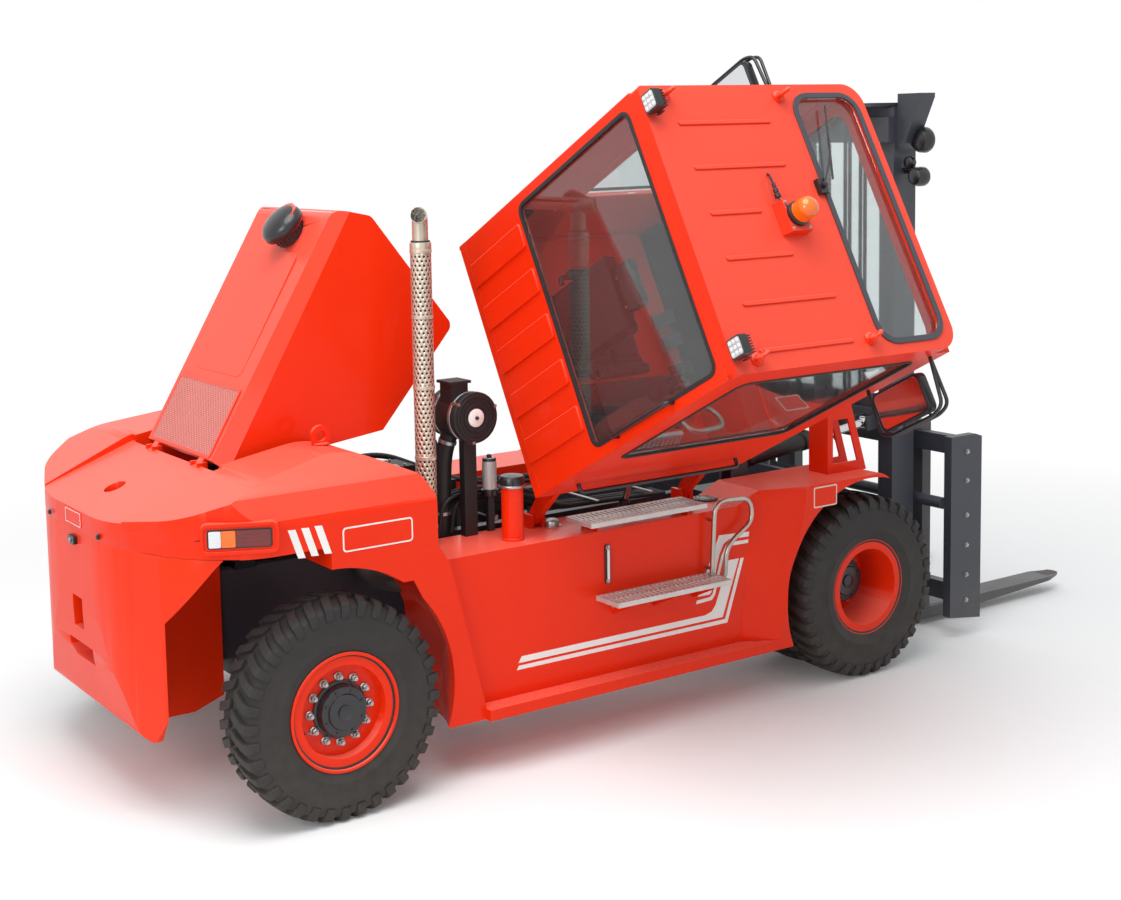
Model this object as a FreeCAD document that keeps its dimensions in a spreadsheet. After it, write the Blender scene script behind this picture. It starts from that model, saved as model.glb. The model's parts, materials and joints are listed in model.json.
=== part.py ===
import FreeCAD, Part
import Sketcher
import os
import re

# A heavy diesel counterbalance forklift with its cab tilted out and its engine cover open.
# X points from the counterweight to the forks, Y to the driver's left, Z up; lengths in millimetres.
# Every piece is laid out from the steering axle, the centre plane and the ground,
# and moved at the end so that the origin is the middle of the whole machine's footprint.

doc = FreeCAD.newDocument("forklift")
size = doc.addObject("Spreadsheet::Sheet", "Size")
aliases = []


def values(title, rows):
    """Write one block of driving dimensions: name, number or formula, what it is."""
    start = len(aliases) + 1 + values.gaps
    size.set("A%d" % start, title)
    values.gaps += 1
    for k, (name, number, note) in enumerate(rows):
        row = start + 1 + k
        size.set("A%d" % row, name)
        size.set("B%d" % row, str(number))
        size.set("C%d" % row, note)
        size.setAlias("B%d" % row, name)
        aliases.append(name)


values.gaps = 0

values("Machine", [
    ("frame_x", -2675, "steering axle to the middle of the machine"),
    ("frame_y", 716, "centre plane to the middle of the footprint"),
    ("wheelbase", 3690, "steering axle to drive axle"),
    ("tyre_r", 562, "tyre outside radius"),
    ("tyre_w", 305, "tyre section width"),
    ("rim_r", 262, "rim barrel outside radius"),
    ("rim_hole_r", 236, "rim barrel inside radius"),
    ("steer_wheel_y", 1130, "steered wheel centre plane"),
    ("kingpin_y", 820, "steering pivot from the centre plane"),
    ("outer_wheel_y", 1077, "outer drive wheel centre plane"),
    ("inner_wheel_y", 727, "inner drive wheel centre plane"),
    ("hub_bore", 66, "steered wheel hub bore radius"),
    ("drive_bore", 116, "drive wheel hub bore radius"),
    ("gap", 6, "working clearance between moving pieces"),
    ("seat", 0.3, "gap left where one piece rests on another"),
    ("running", 0.5, "gap round a shaft in its bore"),
])
values("Frame", [
    ("rail_in", 300, "frame rail inner face"),
    ("rail_t", 70, "frame rail thickness"),
    ("rail_low", 640, "frame rail underside"),
    ("rail_top", 1120, "frame rail top"),
    ("rail_rear", -260, "rear end of the rails, against the counterweight"),
    ("rail_ahead", 300, "front end of the rails ahead of the drive axle"),
    ("axle_notch", 190, "half length of the notch over the drive axle"),
    ("axle_notch_z", 740, "top of the notch over the drive axle"),
])
values("Counterweight", [
    ("cw_back", -890, "rearmost face"),
    ("cw_half", 1180, "half width"),
    ("cw_low", 410, "underside"),
    ("tow_x", -655, "tow pin behind the steering axle"),
    ("tow_z", 930, "middle of the tow pin pocket"),
    ("tow_r", 20, "tow pin hole radius"),
    ("seam_z", 1375, "joint between counterweight and rear cover"),
    ("seam_front_z", 1290, "front end of that joint"),
    ("swing_r", 750, "room for the steered wheel about its pivot"),
    ("cover_top", 1812, "rear cover top"),
    ("cover_front", 620, "front end of the rear cover"),
    ("well_room", 60, "room each side of the engine cover in its opening"),
    ("well_back", -310, "rear end of the engine opening"),
    ("eye_x", 210, "lifting eyes ahead of the steering axle"),
    ("eye_y", 700, "lifting eyes from the centre plane"),
    ("eye_r", 28, "lifting eye hole radius"),
])
values("Sides", [
    ("tank_out", 1110, "tank outer face"),
    ("tank_in", 700, "tank inner face"),
    ("tank_low", 370, "tank underside"),
    ("tank_top", 1185, "tank top"),
    ("tank_back", 690, "rear end at the top"),
    ("tank_behind", 1030, "front end of the tanks behind the drive axle"),
    ("board_t", 60, "running board thickness"),
    ("board_out", 1225, "running board outer edge"),
    ("board_back", 890, "running board rear end"),
    ("board_behind", 750, "running board front end behind the drive axle"),
    ("arch_r", 700, "rear wheel arch radius in the tanks"),
    ("fender_in", 760, "front fender inner edge"),
    ("fender_top", 1260, "front fender top"),
    ("fender_ahead", 175, "front fender tip ahead of the drive axle"),
    ("fender_arch_r", 680, "front wheel arch radius"),
])
values("Mast", [
    ("pivot_ahead", 430, "mast pivot ahead of the drive axle"),
    ("pivot_z", 430, "mast pivot height"),
    ("mast_ahead", 650, "outer rail rear face ahead of the drive axle"),
    ("mast_depth", 200, "outer rail depth"),
    ("rail_out", 800, "outer rail outside face"),
    ("mast_low", 160, "outer rail bottom"),
    ("mast_top", 3480, "outer rail top"),
    ("web_t", 24, "rail web thickness"),
    ("lift_y", 300, "lift cylinder from the centre plane"),
    ("lift_r", 34, "lift rod radius"),
    ("tilt_base_behind", 590, "tilt cylinder rear pin behind the drive axle"),
    ("tilt_base_z", 1330, "tilt cylinder rear pin height"),
    ("tilt_eye_ahead", 545, "tilt cylinder front pin ahead of the drive axle"),
    ("tilt_eye_z", 1450, "tilt cylinder front pin height"),
    ("tilt_y", 660, "tilt cylinder centre line"),
    ("tilt_rod_r", 28, "tilt cylinder rod radius"),
    ("bar_t", 70, "carriage bar thickness"),
    ("bar_top_z", 1230, "carriage top bar underside"),
    ("bar_h", 120, "carriage bar height"),
    ("carriage_half", 970, "carriage end plate inner face"),
    ("fork_ahead", 1140, "front face of the forks ahead of the drive axle"),
    ("fork_len", 1410, "fork blade length"),
    ("fork_w", 180, "fork width"),
    ("fork_t", 80, "fork thickness at the heel"),
    ("fork_top", 120, "fork top face with the carriage down"),
    ("fork_y", 600, "fork centre from the centre plane"),
])
values("Cab", [
    ("cab_tilt", 62.1, "cab tilt shown"),
    ("cab_pin_y", -791, "cab hinge from the centre plane"),
    ("cab_pin_z", 1232, "cab hinge height"),
    ("cab_pin_r", 18, "cab hinge pin radius"),
    ("ram_x", 2240, "cab tilt ram, along the machine"),
    ("ram_base_y", -435, "cab tilt ram lower pin"),
    ("ram_base_z", 600, "cab tilt ram lower pin height"),
    ("ram_eye_y", -435, "cab tilt ram upper pin with the cab down"),
    ("ram_eye_z", 1480, "cab tilt ram upper pin height with the cab down"),
    ("ram_rod_r", 20, "cab tilt ram rod radius"),
    ("cab_back", 1324, "cab rear wall"),
    ("cab_len", 1480, "cab length"),
    ("cab_half", 751, "cab half width"),
    ("cab_floor", 1550, "cab underside when closed"),
    ("cab_high", 1812, "cab height"),
    ("skin", 30, "cab wall thickness"),
    ("door_back", 360, "door opening behind the cab's rear wall"),
    ("door_r", 11, "door hinge barrel radius"),
])
values("Hood", [
    ("hood_open", 46, "engine cover angle shown"),
    ("hood_pin_x", -290, "engine cover hinge"),
    ("hood_pin_z", 1690, "engine cover hinge height"),
    ("hood_pin_r", 10, "engine cover hinge pin radius"),
    ("hood_len", 1470, "engine cover length along the top"),
    ("hood_rise", 360, "engine cover rise along the top"),
    ("hood_half", 500, "engine cover half width"),
    ("hood_deep", 610, "engine cover side depth"),
    ("sheet", 12, "cover sheet thickness"),
])
doc.recompute()


# places that follow from the driving dimensions
FOLLOWS = {
    "bar_x": "(fork_face-fork_t-seat-bar_t)",
    "rail_front": "(wheelbase+rail_ahead)",
    "fender_front": "(wheelbase+fender_ahead)",
    "pivot_x": "(wheelbase+pivot_ahead)",
    "mast_back": "(wheelbase+mast_ahead)",
    "tilt_base_x": "(wheelbase-tilt_base_behind)",
    "tilt_eye_x": "(wheelbase+tilt_eye_ahead)",
    "fork_face": "(wheelbase+fork_ahead)",
    "tank_front": "(wheelbase-tank_behind)",
    "board_front": "(wheelbase-board_behind)",
    "well_half": "(hood_half+well_room)",
}


def cell(text):
    """Turn a formula written in plain names into one that reads the sheet."""
    for name, formula in FOLLOWS.items():
        text = re.sub(r"\b%s\b" % name, formula, str(text))

    def pick(found):
        return "Size." + found.group() if found.group() in aliases else found.group()
    return re.sub(r"[a-z_][a-z0-9_]*", pick, str(text))


def number(text):
    return float(size.evalExpression(cell(text)))


def bind(piece, **formulas):
    for prop, text in formulas.items():
        piece.setExpression(prop.replace("__", "."), cell(text))
    return piece


def at(piece, x, y, z):
    return bind(piece, Placement__Base__x=x, Placement__Base__y=y, Placement__Base__z=z)


def block(name, x, y, z, dx, dy, dz):
    """A box from its low corner and its three sizes."""
    piece = doc.addObject("Part::Box", name)
    bind(piece, Length=dx, Width=dy, Height=dz)
    return at(piece, x, y, z)


TURN = {"z": FreeCAD.Rotation(), "y": FreeCAD.Rotation(FreeCAD.Vector(1, 0, 0), -90),
        "x": FreeCAD.Rotation(FreeCAD.Vector(0, 1, 0), 90)}


def rod(name, axis, x, y, z, radius, length):
    """A cylinder from the centre of its low end, along one axis."""
    piece = doc.addObject("Part::Cylinder", name)
    piece.Placement.Rotation = TURN[axis]
    bind(piece, Radius=radius, Height=length)
    return at(piece, x, y, z)


def cone(name, axis, x, y, z, r1, r2, length):
    piece = doc.addObject("Part::Cone", name)
    piece.Placement.Rotation = TURN[axis]
    bind(piece, Radius1=r1, Radius2=r2, Height=length)
    return at(piece, x, y, z)


def sketch(body, name, plane, offset, points):
    """A closed outline of straight lines, each corner held by two bound distances."""
    outline = body.newObject("Sketcher::SketchObject", name)
    base = [f for f in body.Origin.OriginFeatures if f.Role == plane + "_Plane"][0]
    outline.AttachmentSupport = [(base, "")]
    outline.MapMode = "FlatFace"
    bind(outline, AttachmentOffset__Base__z=offset)
    spots = [FreeCAD.Vector(number(u), number(v), 0) for u, v in points]
    for k, spot in enumerate(spots):
        outline.addGeometry(Part.LineSegment(spot, spots[(k + 1) % len(spots)]), False)
    for k in range(len(spots)):
        outline.addConstraint(Sketcher.Constraint("Coincident", k, 2, (k + 1) % len(spots), 1))
    for k, corner in enumerate(points):
        for kind, text in zip(("DistanceX", "DistanceY"), corner):
            held = outline.addConstraint(Sketcher.Constraint(kind, -1, 1, k, 1, number(text)))
            outline.setExpression("Constraints[%d]" % held, cell(text))
    return outline


def prism(name, plane, low, thick, points, rounds=()):
    """A straight-sided solid: an outline in XY, XZ or YZ, from low, thick along the third axis.
    rounds lists (corner numbers, radius) for the corners that are rounded."""
    body = doc.addObject("PartDesign::Body", name)
    start = "-(%s)-(%s)" % (low, thick) if plane == "XZ" else low
    outline = sketch(body, name + "_outline", plane, start, points)
    pad = body.newObject("PartDesign::Pad", name + "_pad")
    pad.Profile = outline
    bind(pad, Length=thick)
    body.Tip = pad
    outline.Visibility = False
    for k, (corners, radius) in enumerate(rounds):
        doc.recompute()
        spots = [(number(points[c][0]), number(points[c][1])) for c in corners]
        square = body.Tip
        bend = body.newObject("PartDesign::Fillet", "%s_bend_%d" % (name, k))
        bend.Base = (square, corner_edges(square.Shape, plane, spots))
        bind(bend, Radius=radius)
        body.Tip = bend
    return body


FLAT = {"XY": (0, 1, 2), "XZ": (0, 2, 1), "YZ": (1, 2, 0)}


def corner_edges(shape, plane, spots):
    """Names of the straight edges that stand on the given corners of an outline."""
    u, v, along = FLAT[plane]
    found = []
    for k, edge in enumerate(shape.Edges):
        ends = [q.Point for q in edge.Vertexes]
        if len(ends) != 2 or abs(ends[0][along] - ends[1][along]) < 1:
            continue
        for spot in spots:
            if all(abs(q[u] - spot[0]) + abs(q[v] - spot[1]) < 0.01 for q in ends):
                found.append("Edge%d" % (k + 1))
    return found


def loft(name, plane, sections):
    """A solid between outlines of the same number of corners: sections are (offset, points)."""
    body = doc.addObject("PartDesign::Body", name)
    outlines = [sketch(body, "%s_outline_%d" % (name, k), plane, offset, points)
                for k, (offset, points) in enumerate(sections)]
    skin = body.newObject("PartDesign::AdditiveLoft", name + "_loft")
    skin.Profile = outlines[0]
    skin.Sections = outlines[1:]
    skin.Ruled = True
    body.Tip = skin
    for outline in outlines:
        outline.Visibility = False
    return body


def turned(name, x, y, z, points, side=1):
    """A round solid about the Y direction through x, y, z: points are (along Y, radius)."""
    body = doc.addObject("PartDesign::Body", name)
    shape = [("(%s)*%d" % (v, side), r) for v, r in points]
    outline = sketch(body, name + "_outline", "YZ", "0", shape)
    spin = body.newObject("PartDesign::Revolution", name + "_turn")
    spin.Profile = outline
    spin.ReferenceAxis = (outline, ["H_Axis"])
    spin.Angle = 360
    body.Tip = spin
    outline.Visibility = False
    return at(body, x, y, z)


def fuse(name, pieces):
    whole = doc.addObject("Part::MultiFuse", name)
    whole.Shapes = pieces
    whole.Refine = True
    return whole


def group(name, pieces):
    whole = doc.addObject("Part::Compound", name)
    whole.Links = pieces
    return whole


def cut(name, base, tools):
    tool = tools[0] if len(tools) == 1 else group(name + "_tools", tools)
    whole = doc.addObject("Part::Cut", name)
    whole.Base = base
    whole.Tool = tool
    return whole


def common(name, a, b):
    whole = doc.addObject("Part::Common", name)
    whole.Base = a
    whole.Tool = b
    return whole


def flip(name, piece):
    """The same piece on the other side of the centre plane."""
    twin = doc.addObject("Part::Mirroring", name)
    twin.Source = piece
    twin.Base = FreeCAD.Vector(0, 0, 0)
    twin.Normal = FreeCAD.Vector(0, 1, 0)
    return twin


def pair(name, piece):
    return group(name, [piece, flip(name + "_left", piece)])


nodes = []
VEC = "create(<<vector>>; %s; %s; %s)"
PLACE = "create(<<placement>>; %s; create(<<rotation>>; %s; %s); %s)"


def node(name, piece, turn=None):
    """Finish a named piece: turn it about its hinge where it has one, and move it to the origin."""
    last = piece
    if piece.TypeId not in ("Part::Cut", "Part::MultiFuse", "Part::Compound", "Part::Common"):
        last = group(name + "_part", [piece])
    shift = VEC % ("frame_x", "frame_y", "0")
    if turn == "cab":
        last.setExpression("Placement", cell(PLACE % (shift, VEC % (1, 0, 0), "cab_tilt",
                                                      VEC % (0, "cab_pin_y", "cab_pin_z"))))
    elif turn == "hood":
        last.setExpression("Placement", cell(PLACE % (shift, VEC % (0, -1, 0), "hood_open",
                                                      VEC % ("hood_pin_x", 0, "hood_pin_z"))))
    else:
        last.setExpression("Placement", cell(PLACE % (shift, VEC % (0, 0, 1), "0", VEC % (0, 0, 0))))
    last.Label = name
    nodes.append(last)
    return last


# --- frame: two rails, cross members, a front plate with the mast pivot ears -------------------
def rails():
    long = "rail_front-rail_rear"
    right = block("rail_r", "rail_rear", "-rail_in-rail_t", "rail_low", long, "rail_t", "rail_top-rail_low")
    left = flip("rail_l", right)
    span = "2*(rail_in+rail_t)"
    rear = block("cross_rear", "rail_rear", "-rail_in-rail_t", "rail_low+100", "80", span, "rail_top-rail_low-100")
    mid = block("cross_mid", "1500", "-rail_in-rail_t", "rail_low-80", "120", span, "160")
    front = block("cross_front", "rail_front-44", "-560", "rail_low-100", "44", "1120", "560")
    # outriggers carry the tanks and the running boards
    arms = [block("arm_%d" % k, x, "-tank_in", "700", "80", "tank_in-rail_in-rail_t", "120")
            for k, x in enumerate(("900", "1700", "2500"))]
    arms += [flip("arm_l%d" % k, a) for k, a in enumerate(arms)]
    # two ears a side hold the mast pivot pin between them
    ear_shape = [("rail_front-30", "pivot_z+320"), ("rail_front-30", "pivot_z+60"), ("pivot_x-60", "pivot_z-80"),
                 ("pivot_x+60", "pivot_z-80"), ("pivot_x+60", "pivot_z+60")]
    ear = prism("ear_in", "XZ", "-424", "40", ear_shape, [((3, 4), "50")])
    outer = prism("ear_out", "XZ", "-540", "40", ear_shape, [((3, 4), "50")])
    pin = rod("mast_pin", "y", "pivot_x", "-540", "pivot_z", "38", "156")
    # brackets ahead of the cab hold the rear pins of the tilt cylinders
    shelf = block("tilt_shelf", "tilt_base_x-80", "-tilt_y-62", "rail_top-120", "160", "tilt_y+62-rail_in-rail_t", "120")
    cheeks = [prism("tilt_cheek_%d" % k, "XZ", y, "20", [
        ("tilt_base_x-80", "rail_top-60"), ("tilt_base_x+80", "rail_top-60"), ("tilt_base_x+50", "tilt_base_z+50"),
        ("tilt_base_x-50", "tilt_base_z+50")], [((2, 3), "40")]) for k, y in enumerate(("-tilt_y-62", "-tilt_y+42"))]
    tilt_pin = rod("tilt_base_pin", "y", "tilt_base_x", "-tilt_y-62", "tilt_base_z", "25", "124")
    right_bits = [ear, outer, pin, shelf, tilt_pin] + cheeks
    bits = right_bits + [flip(e.Name + "_l", e) for e in right_bits]
    feet = [block("ram_foot_%d" % k, x, "ram_base_y-40", "ram_base_z-40", "16", "-ram_base_y+40-rail_in",
                  "rail_low+60-ram_base_z+40") for k, x in enumerate(("ram_x-56", "ram_x+40"))]
    ram_pin = rod("ram_foot_pin", "x", "ram_x-56", "ram_base_y", "ram_base_z", "15", "112")
    whole = fuse("frame_whole", [right, left, rear, mid, front, ram_pin] + feet + arms + bits)
    notch = block("axle_gap", "wheelbase-axle_notch", "-rail_in-rail_t-5", "rail_low-10", "2*axle_notch", span + "+10",
                  "axle_notch_z-rail_low+10")
    return cut("frame_cut", whole, [notch])


node("chassis_frame", rails())

# --- counterweight: cast block shaped in side view, in plan and from behind, with wheel arches --
PLAN = [("1200", "-cw_half"), ("1200", "cw_half"), ("-430", "cw_half"), ("-710", "cw_half-230"),
        ("cw_back", "cw_half-730"), ("cw_back", "-cw_half+730"), ("-710", "-cw_half+230"), ("-430", "-cw_half")]
PLAN_BENDS = [((4, 5), "1100"), ((3, 6), "520"), ((2, 7), "380")]
plan_low = prism("cw_plan", "XY", "300", "1200", PLAN, PLAN_BENDS)
side_low = prism("cw_side", "XZ", "-cw_half-50", "2*cw_half+100", [
    ("rail_rear", "cw_low+60"), ("rail_rear", "seam_z"), ("cw_back-20", "seam_z"), ("cw_back+10", "cw_low+330"),
    ("cw_back+70", "cw_low"), ("-430", "cw_low")], [((3,), "500"), ((4,), "60")])
behind = prism("cw_behind", "YZ", "cw_back-50", "-cw_back+100", [
    ("-cw_half-20", "seam_z+10"), ("-cw_half", "seam_z-330"), ("-cw_half+440", "cw_low"), ("cw_half-440", "cw_low"),
    ("cw_half", "seam_z-330"), ("cw_half+20", "seam_z+10")], [((1, 4), "330"), ((2, 3), "50")])
cw = common("cw_block", common("cw_profile", side_low, plan_low), behind)


def swing_room(name, low, straight, top, narrow):
    """The room the steered wheel sweeps: a drum about the steering pivot that narrows upwards."""
    drum = rod(name + "_drum", "z", "0", "-kingpin_y", low, "swing_r", "(%s)-(%s)" % (straight, low))
    hat = cone(name + "_hat", "z", "0", "-kingpin_y", straight, "swing_r", narrow,
               "(%s)-(%s)" % (top, straight))
    outside = block(name + "_outside", "-900", "-2000", "0", "1800", "2000-420", "2000")
    return common(name + "_room", fuse(name + "_pair", [drum, hat]), outside)


cw_room = swing_room("cw_swing", "200", "1040", "seam_z+30", "590")
slot = block("cw_tow_slot", "cw_back-20", "-70", "tow_z-85", "tow_x+70-cw_back+20", "140", "170")
low_slot = prism("cw_low_slot", "YZ", "cw_back-20", "140", [
    ("-170", "tow_z-255"), ("110", "tow_z-255"), ("170", "tow_z-215"), ("170", "tow_z-165"), ("-170", "tow_z-165")])
# the tow pin drops in through the hatch in the deck above
bore = rod("cw_tow_bore", "z", "tow_x", "0", "tow_z-150", "tow_r", "seam_z+50-tow_z+150")
node("counterweight", cut("cw_cut", cw, [cw_room, flip("cw_swing_l", cw_room), slot, low_slot, bore]))

# --- rear cover: shell with two broad wings, a sloping deck behind and the engine opening ---------
COVER = [("-cw_half", "seam_front_z-100"), ("-cw_half", "seam_z+150"), ("-cw_half+90", "seam_z+330"),
         ("-cw_half+300", "cover_top+20"), ("-well_half", "cover_top+40"), ("well_half", "cover_top+40"),
         ("cw_half-300", "cover_top+20"), ("cw_half-90", "seam_z+330"), ("cw_half", "seam_z+150"),
         ("cw_half", "seam_front_z-100")]
cover_out = prism("cover_section", "YZ", "cw_back-10", "cover_front-cw_back+10", COVER,
                  [((1, 8), "90"), ((2, 7), "170"), ((3, 6), "260")])
plan_top = prism("cover_plan", "XY", "seam_front_z-120", "900", PLAN, PLAN_BENDS)
slope = prism("cover_side", "XZ", "-cw_half-50", "2*cw_half+100", [
    ("cover_front", "seam_front_z+seat"), ("cover_front", "cover_top-250"), ("cover_front-60", "cover_top-150"),
    ("eye_x", "cover_top"), ("-330", "cover_top-90"), ("cw_back-10", "seam_z+115"), ("cw_back-10", "seam_z+seat"),
    ("0", "seam_z+seat")], [((3,), "500"), ((4,), "420"), ((2,), "90")])
cover = common("cover_b", common("cover_a", cover_out, plan_top), slope)
inner = prism("cover_inner", "XZ", "-cw_half+45", "2*cw_half-90", [
    ("cw_back+90", "seam_front_z-50"), ("cover_front+20", "seam_front_z-50"), ("cover_front+20", "seam_z+110"),
    ("cw_back+320", "seam_z+110"), ("cw_back+90", "seam_z+60")])
# the deck behind the engine cover dips between the wings
dip_side = prism("deck_side", "XZ", "-700", "1400", [
    ("cw_back-40", "seam_z+100"), ("well_back+5", "hood_pin_z"), ("well_back+5", "hood_pin_z+500"),
    ("cw_back-40", "hood_pin_z+500")])
dip_behind = prism("deck_behind", "YZ", "cw_back-50", "-cw_back+100", [
    ("-well_half+20", "seam_z"), ("-well_half-120", "hood_pin_z+400"), ("well_half+120", "hood_pin_z+400"),
    ("well_half-20", "seam_z")])
well = block("cover_well", "well_back", "-well_half", "seam_front_z-50", "cover_front-well_back+20", "2*well_half", "800")
hatch = rod("tow_hatch", "z", "tow_x", "0", "seam_z-5", "58", "400")
shell = cut("cover_cut", cover, [inner, common("deck_dip", dip_side, dip_behind), well, hatch])
ring = cut("lift_ring", rod("lift_ring_disc", "y", "eye_x", "-eye_y-12", "cover_top+28", "eye_r+28", "24"),
           [rod("lift_ring_hole", "y", "eye_x", "-eye_y-20", "cover_top+28", "eye_r", "40")])
hinge_pin = rod("hood_pin", "y", "hood_pin_x", "-352", "hood_pin_z", "hood_pin_r", "104")
hinge_ears = [block("hood_ear_%d" % k, "well_back-20", y, "hood_pin_z-80", "hood_pin_x+16-well_back+20", "20", "96")
              for k, y in enumerate(("-352", "-268"))]
extras = [ring, hinge_pin] + hinge_ears
node("rear_cover", fuse("cover_whole", [shell] + extras + [flip(e.Name + "_l", e) for e in extras]))

# --- radiator, engine, exhaust and engine bay pieces ------------------------------------------
core = block("radiator_core", "-150", "-rail_in-rail_t", "rail_top+seat", "110", "2*(rail_in+rail_t)", "400")
mass = block("engine_mass", "150", "-rail_in+seat", "700", "1150", "2*(rail_in-seat)", "700")
node("engine", group("engine_pair", [mass, core]))
pipe = rod("exhaust_pipe", "z", "815", "-tank_in-60", "tank_top+seat", "52", "1640")
mouth = rod("exhaust_mouth", "z", "815", "-tank_in-60", "tank_top+1640", "42", "120")
node("exhaust_stack", fuse("exhaust_whole", [pipe, mouth]))
cleaner = rod("cleaner_drum", "y", "1100", "-820", "1850", "135", "280")
foot = block("cleaner_foot", "1060", "-tank_in-60", "tank_top+seat", "80", "50", "580")
drum = fuse("cleaner_whole", [cleaner, foot])
cup = rod("separator_cup", "z", "1250", "-tank_in-20", "tank_top+240", "38", "170")
post = block("separator_post", "1230", "-tank_in-33", "tank_top+seat", "40", "26", "300")
node("air_cleaner", group("cleaner_pair", [drum, fuse("separator_whole", [cup, post])]))


# --- side tanks, boards, steps, fenders -------------------------------------------------------
def tank(name):
    """A tank, the haunch behind it that forms the wheel arch, and the running board below."""
    box = prism(name + "_box", "XZ", "-tank_out", "tank_out-tank_in", [
        ("tank_back-40", "tank_top"), ("tank_back+60", "tank_low"), ("tank_front", "tank_low"),
        ("tank_front", "tank_top")])
    haunch = prism(name + "_haunch", "XZ", "-cw_half", "cw_half-tank_in", [
        ("0", "seam_z"), ("cover_front", "seam_front_z"), ("tank_back", "tank_top"),
        ("board_back+20", "tank_low-board_t"), ("tyre_r", "tank_low-board_t"), ("0", "tyre_r")])
    arch = rod(name + "_arch", "y", "0", "-1400", "tyre_r", "arch_r", "1000")
    room = swing_room(name + "_swing", "0", "tank_low+380", "1130", "590")
    board = prism(name + "_board", "XY", "tank_low-board_t", "board_t", [
        ("board_back", "-board_out"), ("board_front", "-board_out"), ("board_front", "-tank_out+60"),
        ("tank_front", "-tank_in"), ("board_back", "-tank_in")])
    return fuse(name + "_whole", [box, cut(name + "_haunch_cut", haunch, [arch, room]), board])


neck = rod("filler_neck", "z", "1235", "-960", "tank_top-5", "60", "305")
cap = rod("filler_cap", "z", "1235", "-960", "tank_top+300", "66", "45")
small = rod("filler_small", "z", "1590", "-tank_in-124", "tank_top-5", "40", "30")
stands = []
for k, x in enumerate(("cab_back+150", "cab_back+cab_len-250")):
    for j, dx in enumerate(("-26-gap", "+40+gap")):
        stands.append(block("hinge_stand_%d_%d" % (k, j), x + dx, "cab_pin_y-40", "tank_top-5", "26", "80",
                            "cab_pin_z+35-tank_top"))
    stands.append(rod("hinge_pin_%d" % k, "x", x + "-26-gap", "cab_pin_y", "cab_pin_z", "cab_pin_r", "92+2*gap"))
right_side = fuse("right_side_whole", [tank("tank_r"), neck, cap, small] + stands)
left_side = flip("left_side_whole", tank("tank_l"))
node("side_tanks", group("side_tanks_pair", [right_side, left_side]))

upper = block("step_top", "1610", "-1170", "tank_top+40", "830", "230", "28")
upper_feet = [block("step_top_foot_%d" % k, x, "-1100", "tank_top+seat", "40", "120", "45")
              for k, x in enumerate(("1690", "2310"))]
lower = block("step_low", "1680", "-1310", "800", "820", "1310-tank_out-seat", "28")
lower_feet = [block("step_low_foot_%d" % k, x, "-tank_out-60", "740", "40", "60-seat", "65")
              for k, x in enumerate(("1760", "2380"))]
node("steps", group("steps_whole", [fuse("step_top_whole", [upper] + upper_feet),
                                    fuse("step_low_whole", [lower] + lower_feet)]))


def fender(name):
    """A front fender: a plate over the twin wheels with a solid flank behind them."""
    whole = prism(name + "_side", "XZ", "-board_out", "board_out-fender_in", [
        ("tank_front+seat", "tank_low+seat"), ("board_front+seat", "tank_low+seat"),
        ("board_front+seat", "tank_low-board_t"), ("wheelbase", "tank_low-board_t"), ("wheelbase", "fender_top-90"),
        ("fender_front", "fender_top-90"), ("fender_front", "fender_top-40"), ("fender_front-70", "fender_top"),
        ("tank_front+220", "fender_top"), ("tank_front+60", "tank_top"), ("tank_front+seat", "tank_top")],
        [((7,), "80")])
    arch = rod(name + "_arch", "y", "wheelbase", "-1400", "tyre_r", "fender_arch_r", "1000")
    # the flank leans in from the outer face to the tank's face
    flank = loft(name + "_flank", "XY", [
        ("tank_low-board_t-20", [("tank_front-20", "-board_out-20"), ("board_front+20", "-board_out-20"),
                                 ("tank_front+60", "-tank_out"), ("tank_front-20", "-tank_out")]),
        ("fender_top+20", [("tank_front-20", "-board_out-20"), ("board_front+310", "-board_out-20"),
                           ("tank_front+180", "-tank_out"), ("tank_front-20", "-tank_out")])])
    return cut(name + "_cut", whole, [arch, flank])


def tower(name, y):
    frame = prism(name + "_plate", "XZ", y, "14", [
        ("wheelbase-190", "fender_top-5"), ("wheelbase+140", "fender_top-5"), ("wheelbase", "fender_top+440"),
        ("wheelbase-190", "fender_top+440")])
    window = prism(name + "_window", "XZ", y + "-5", "30", [
        ("wheelbase-145", "fender_top+60"), ("wheelbase+65", "fender_top+60"), ("wheelbase-20", "fender_top+330"),
        ("wheelbase-145", "fender_top+330")])
    return cut(name + "_cut", frame, [window])


towers = [tower("tower_a", "-1060"), tower("tower_b", "-914")]
tower_back = block("tower_back", "wheelbase-190", "-1060", "fender_top-5", "14", "160", "445")
tower_top = block("tower_top", "wheelbase-190", "-1060", "fender_top+430", "190", "160", "14")
right_front = fuse("tower_whole", towers + [tower_back, tower_top, fender("fender_r")])
node("front_fenders", pair("fender_pair", right_front))

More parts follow.
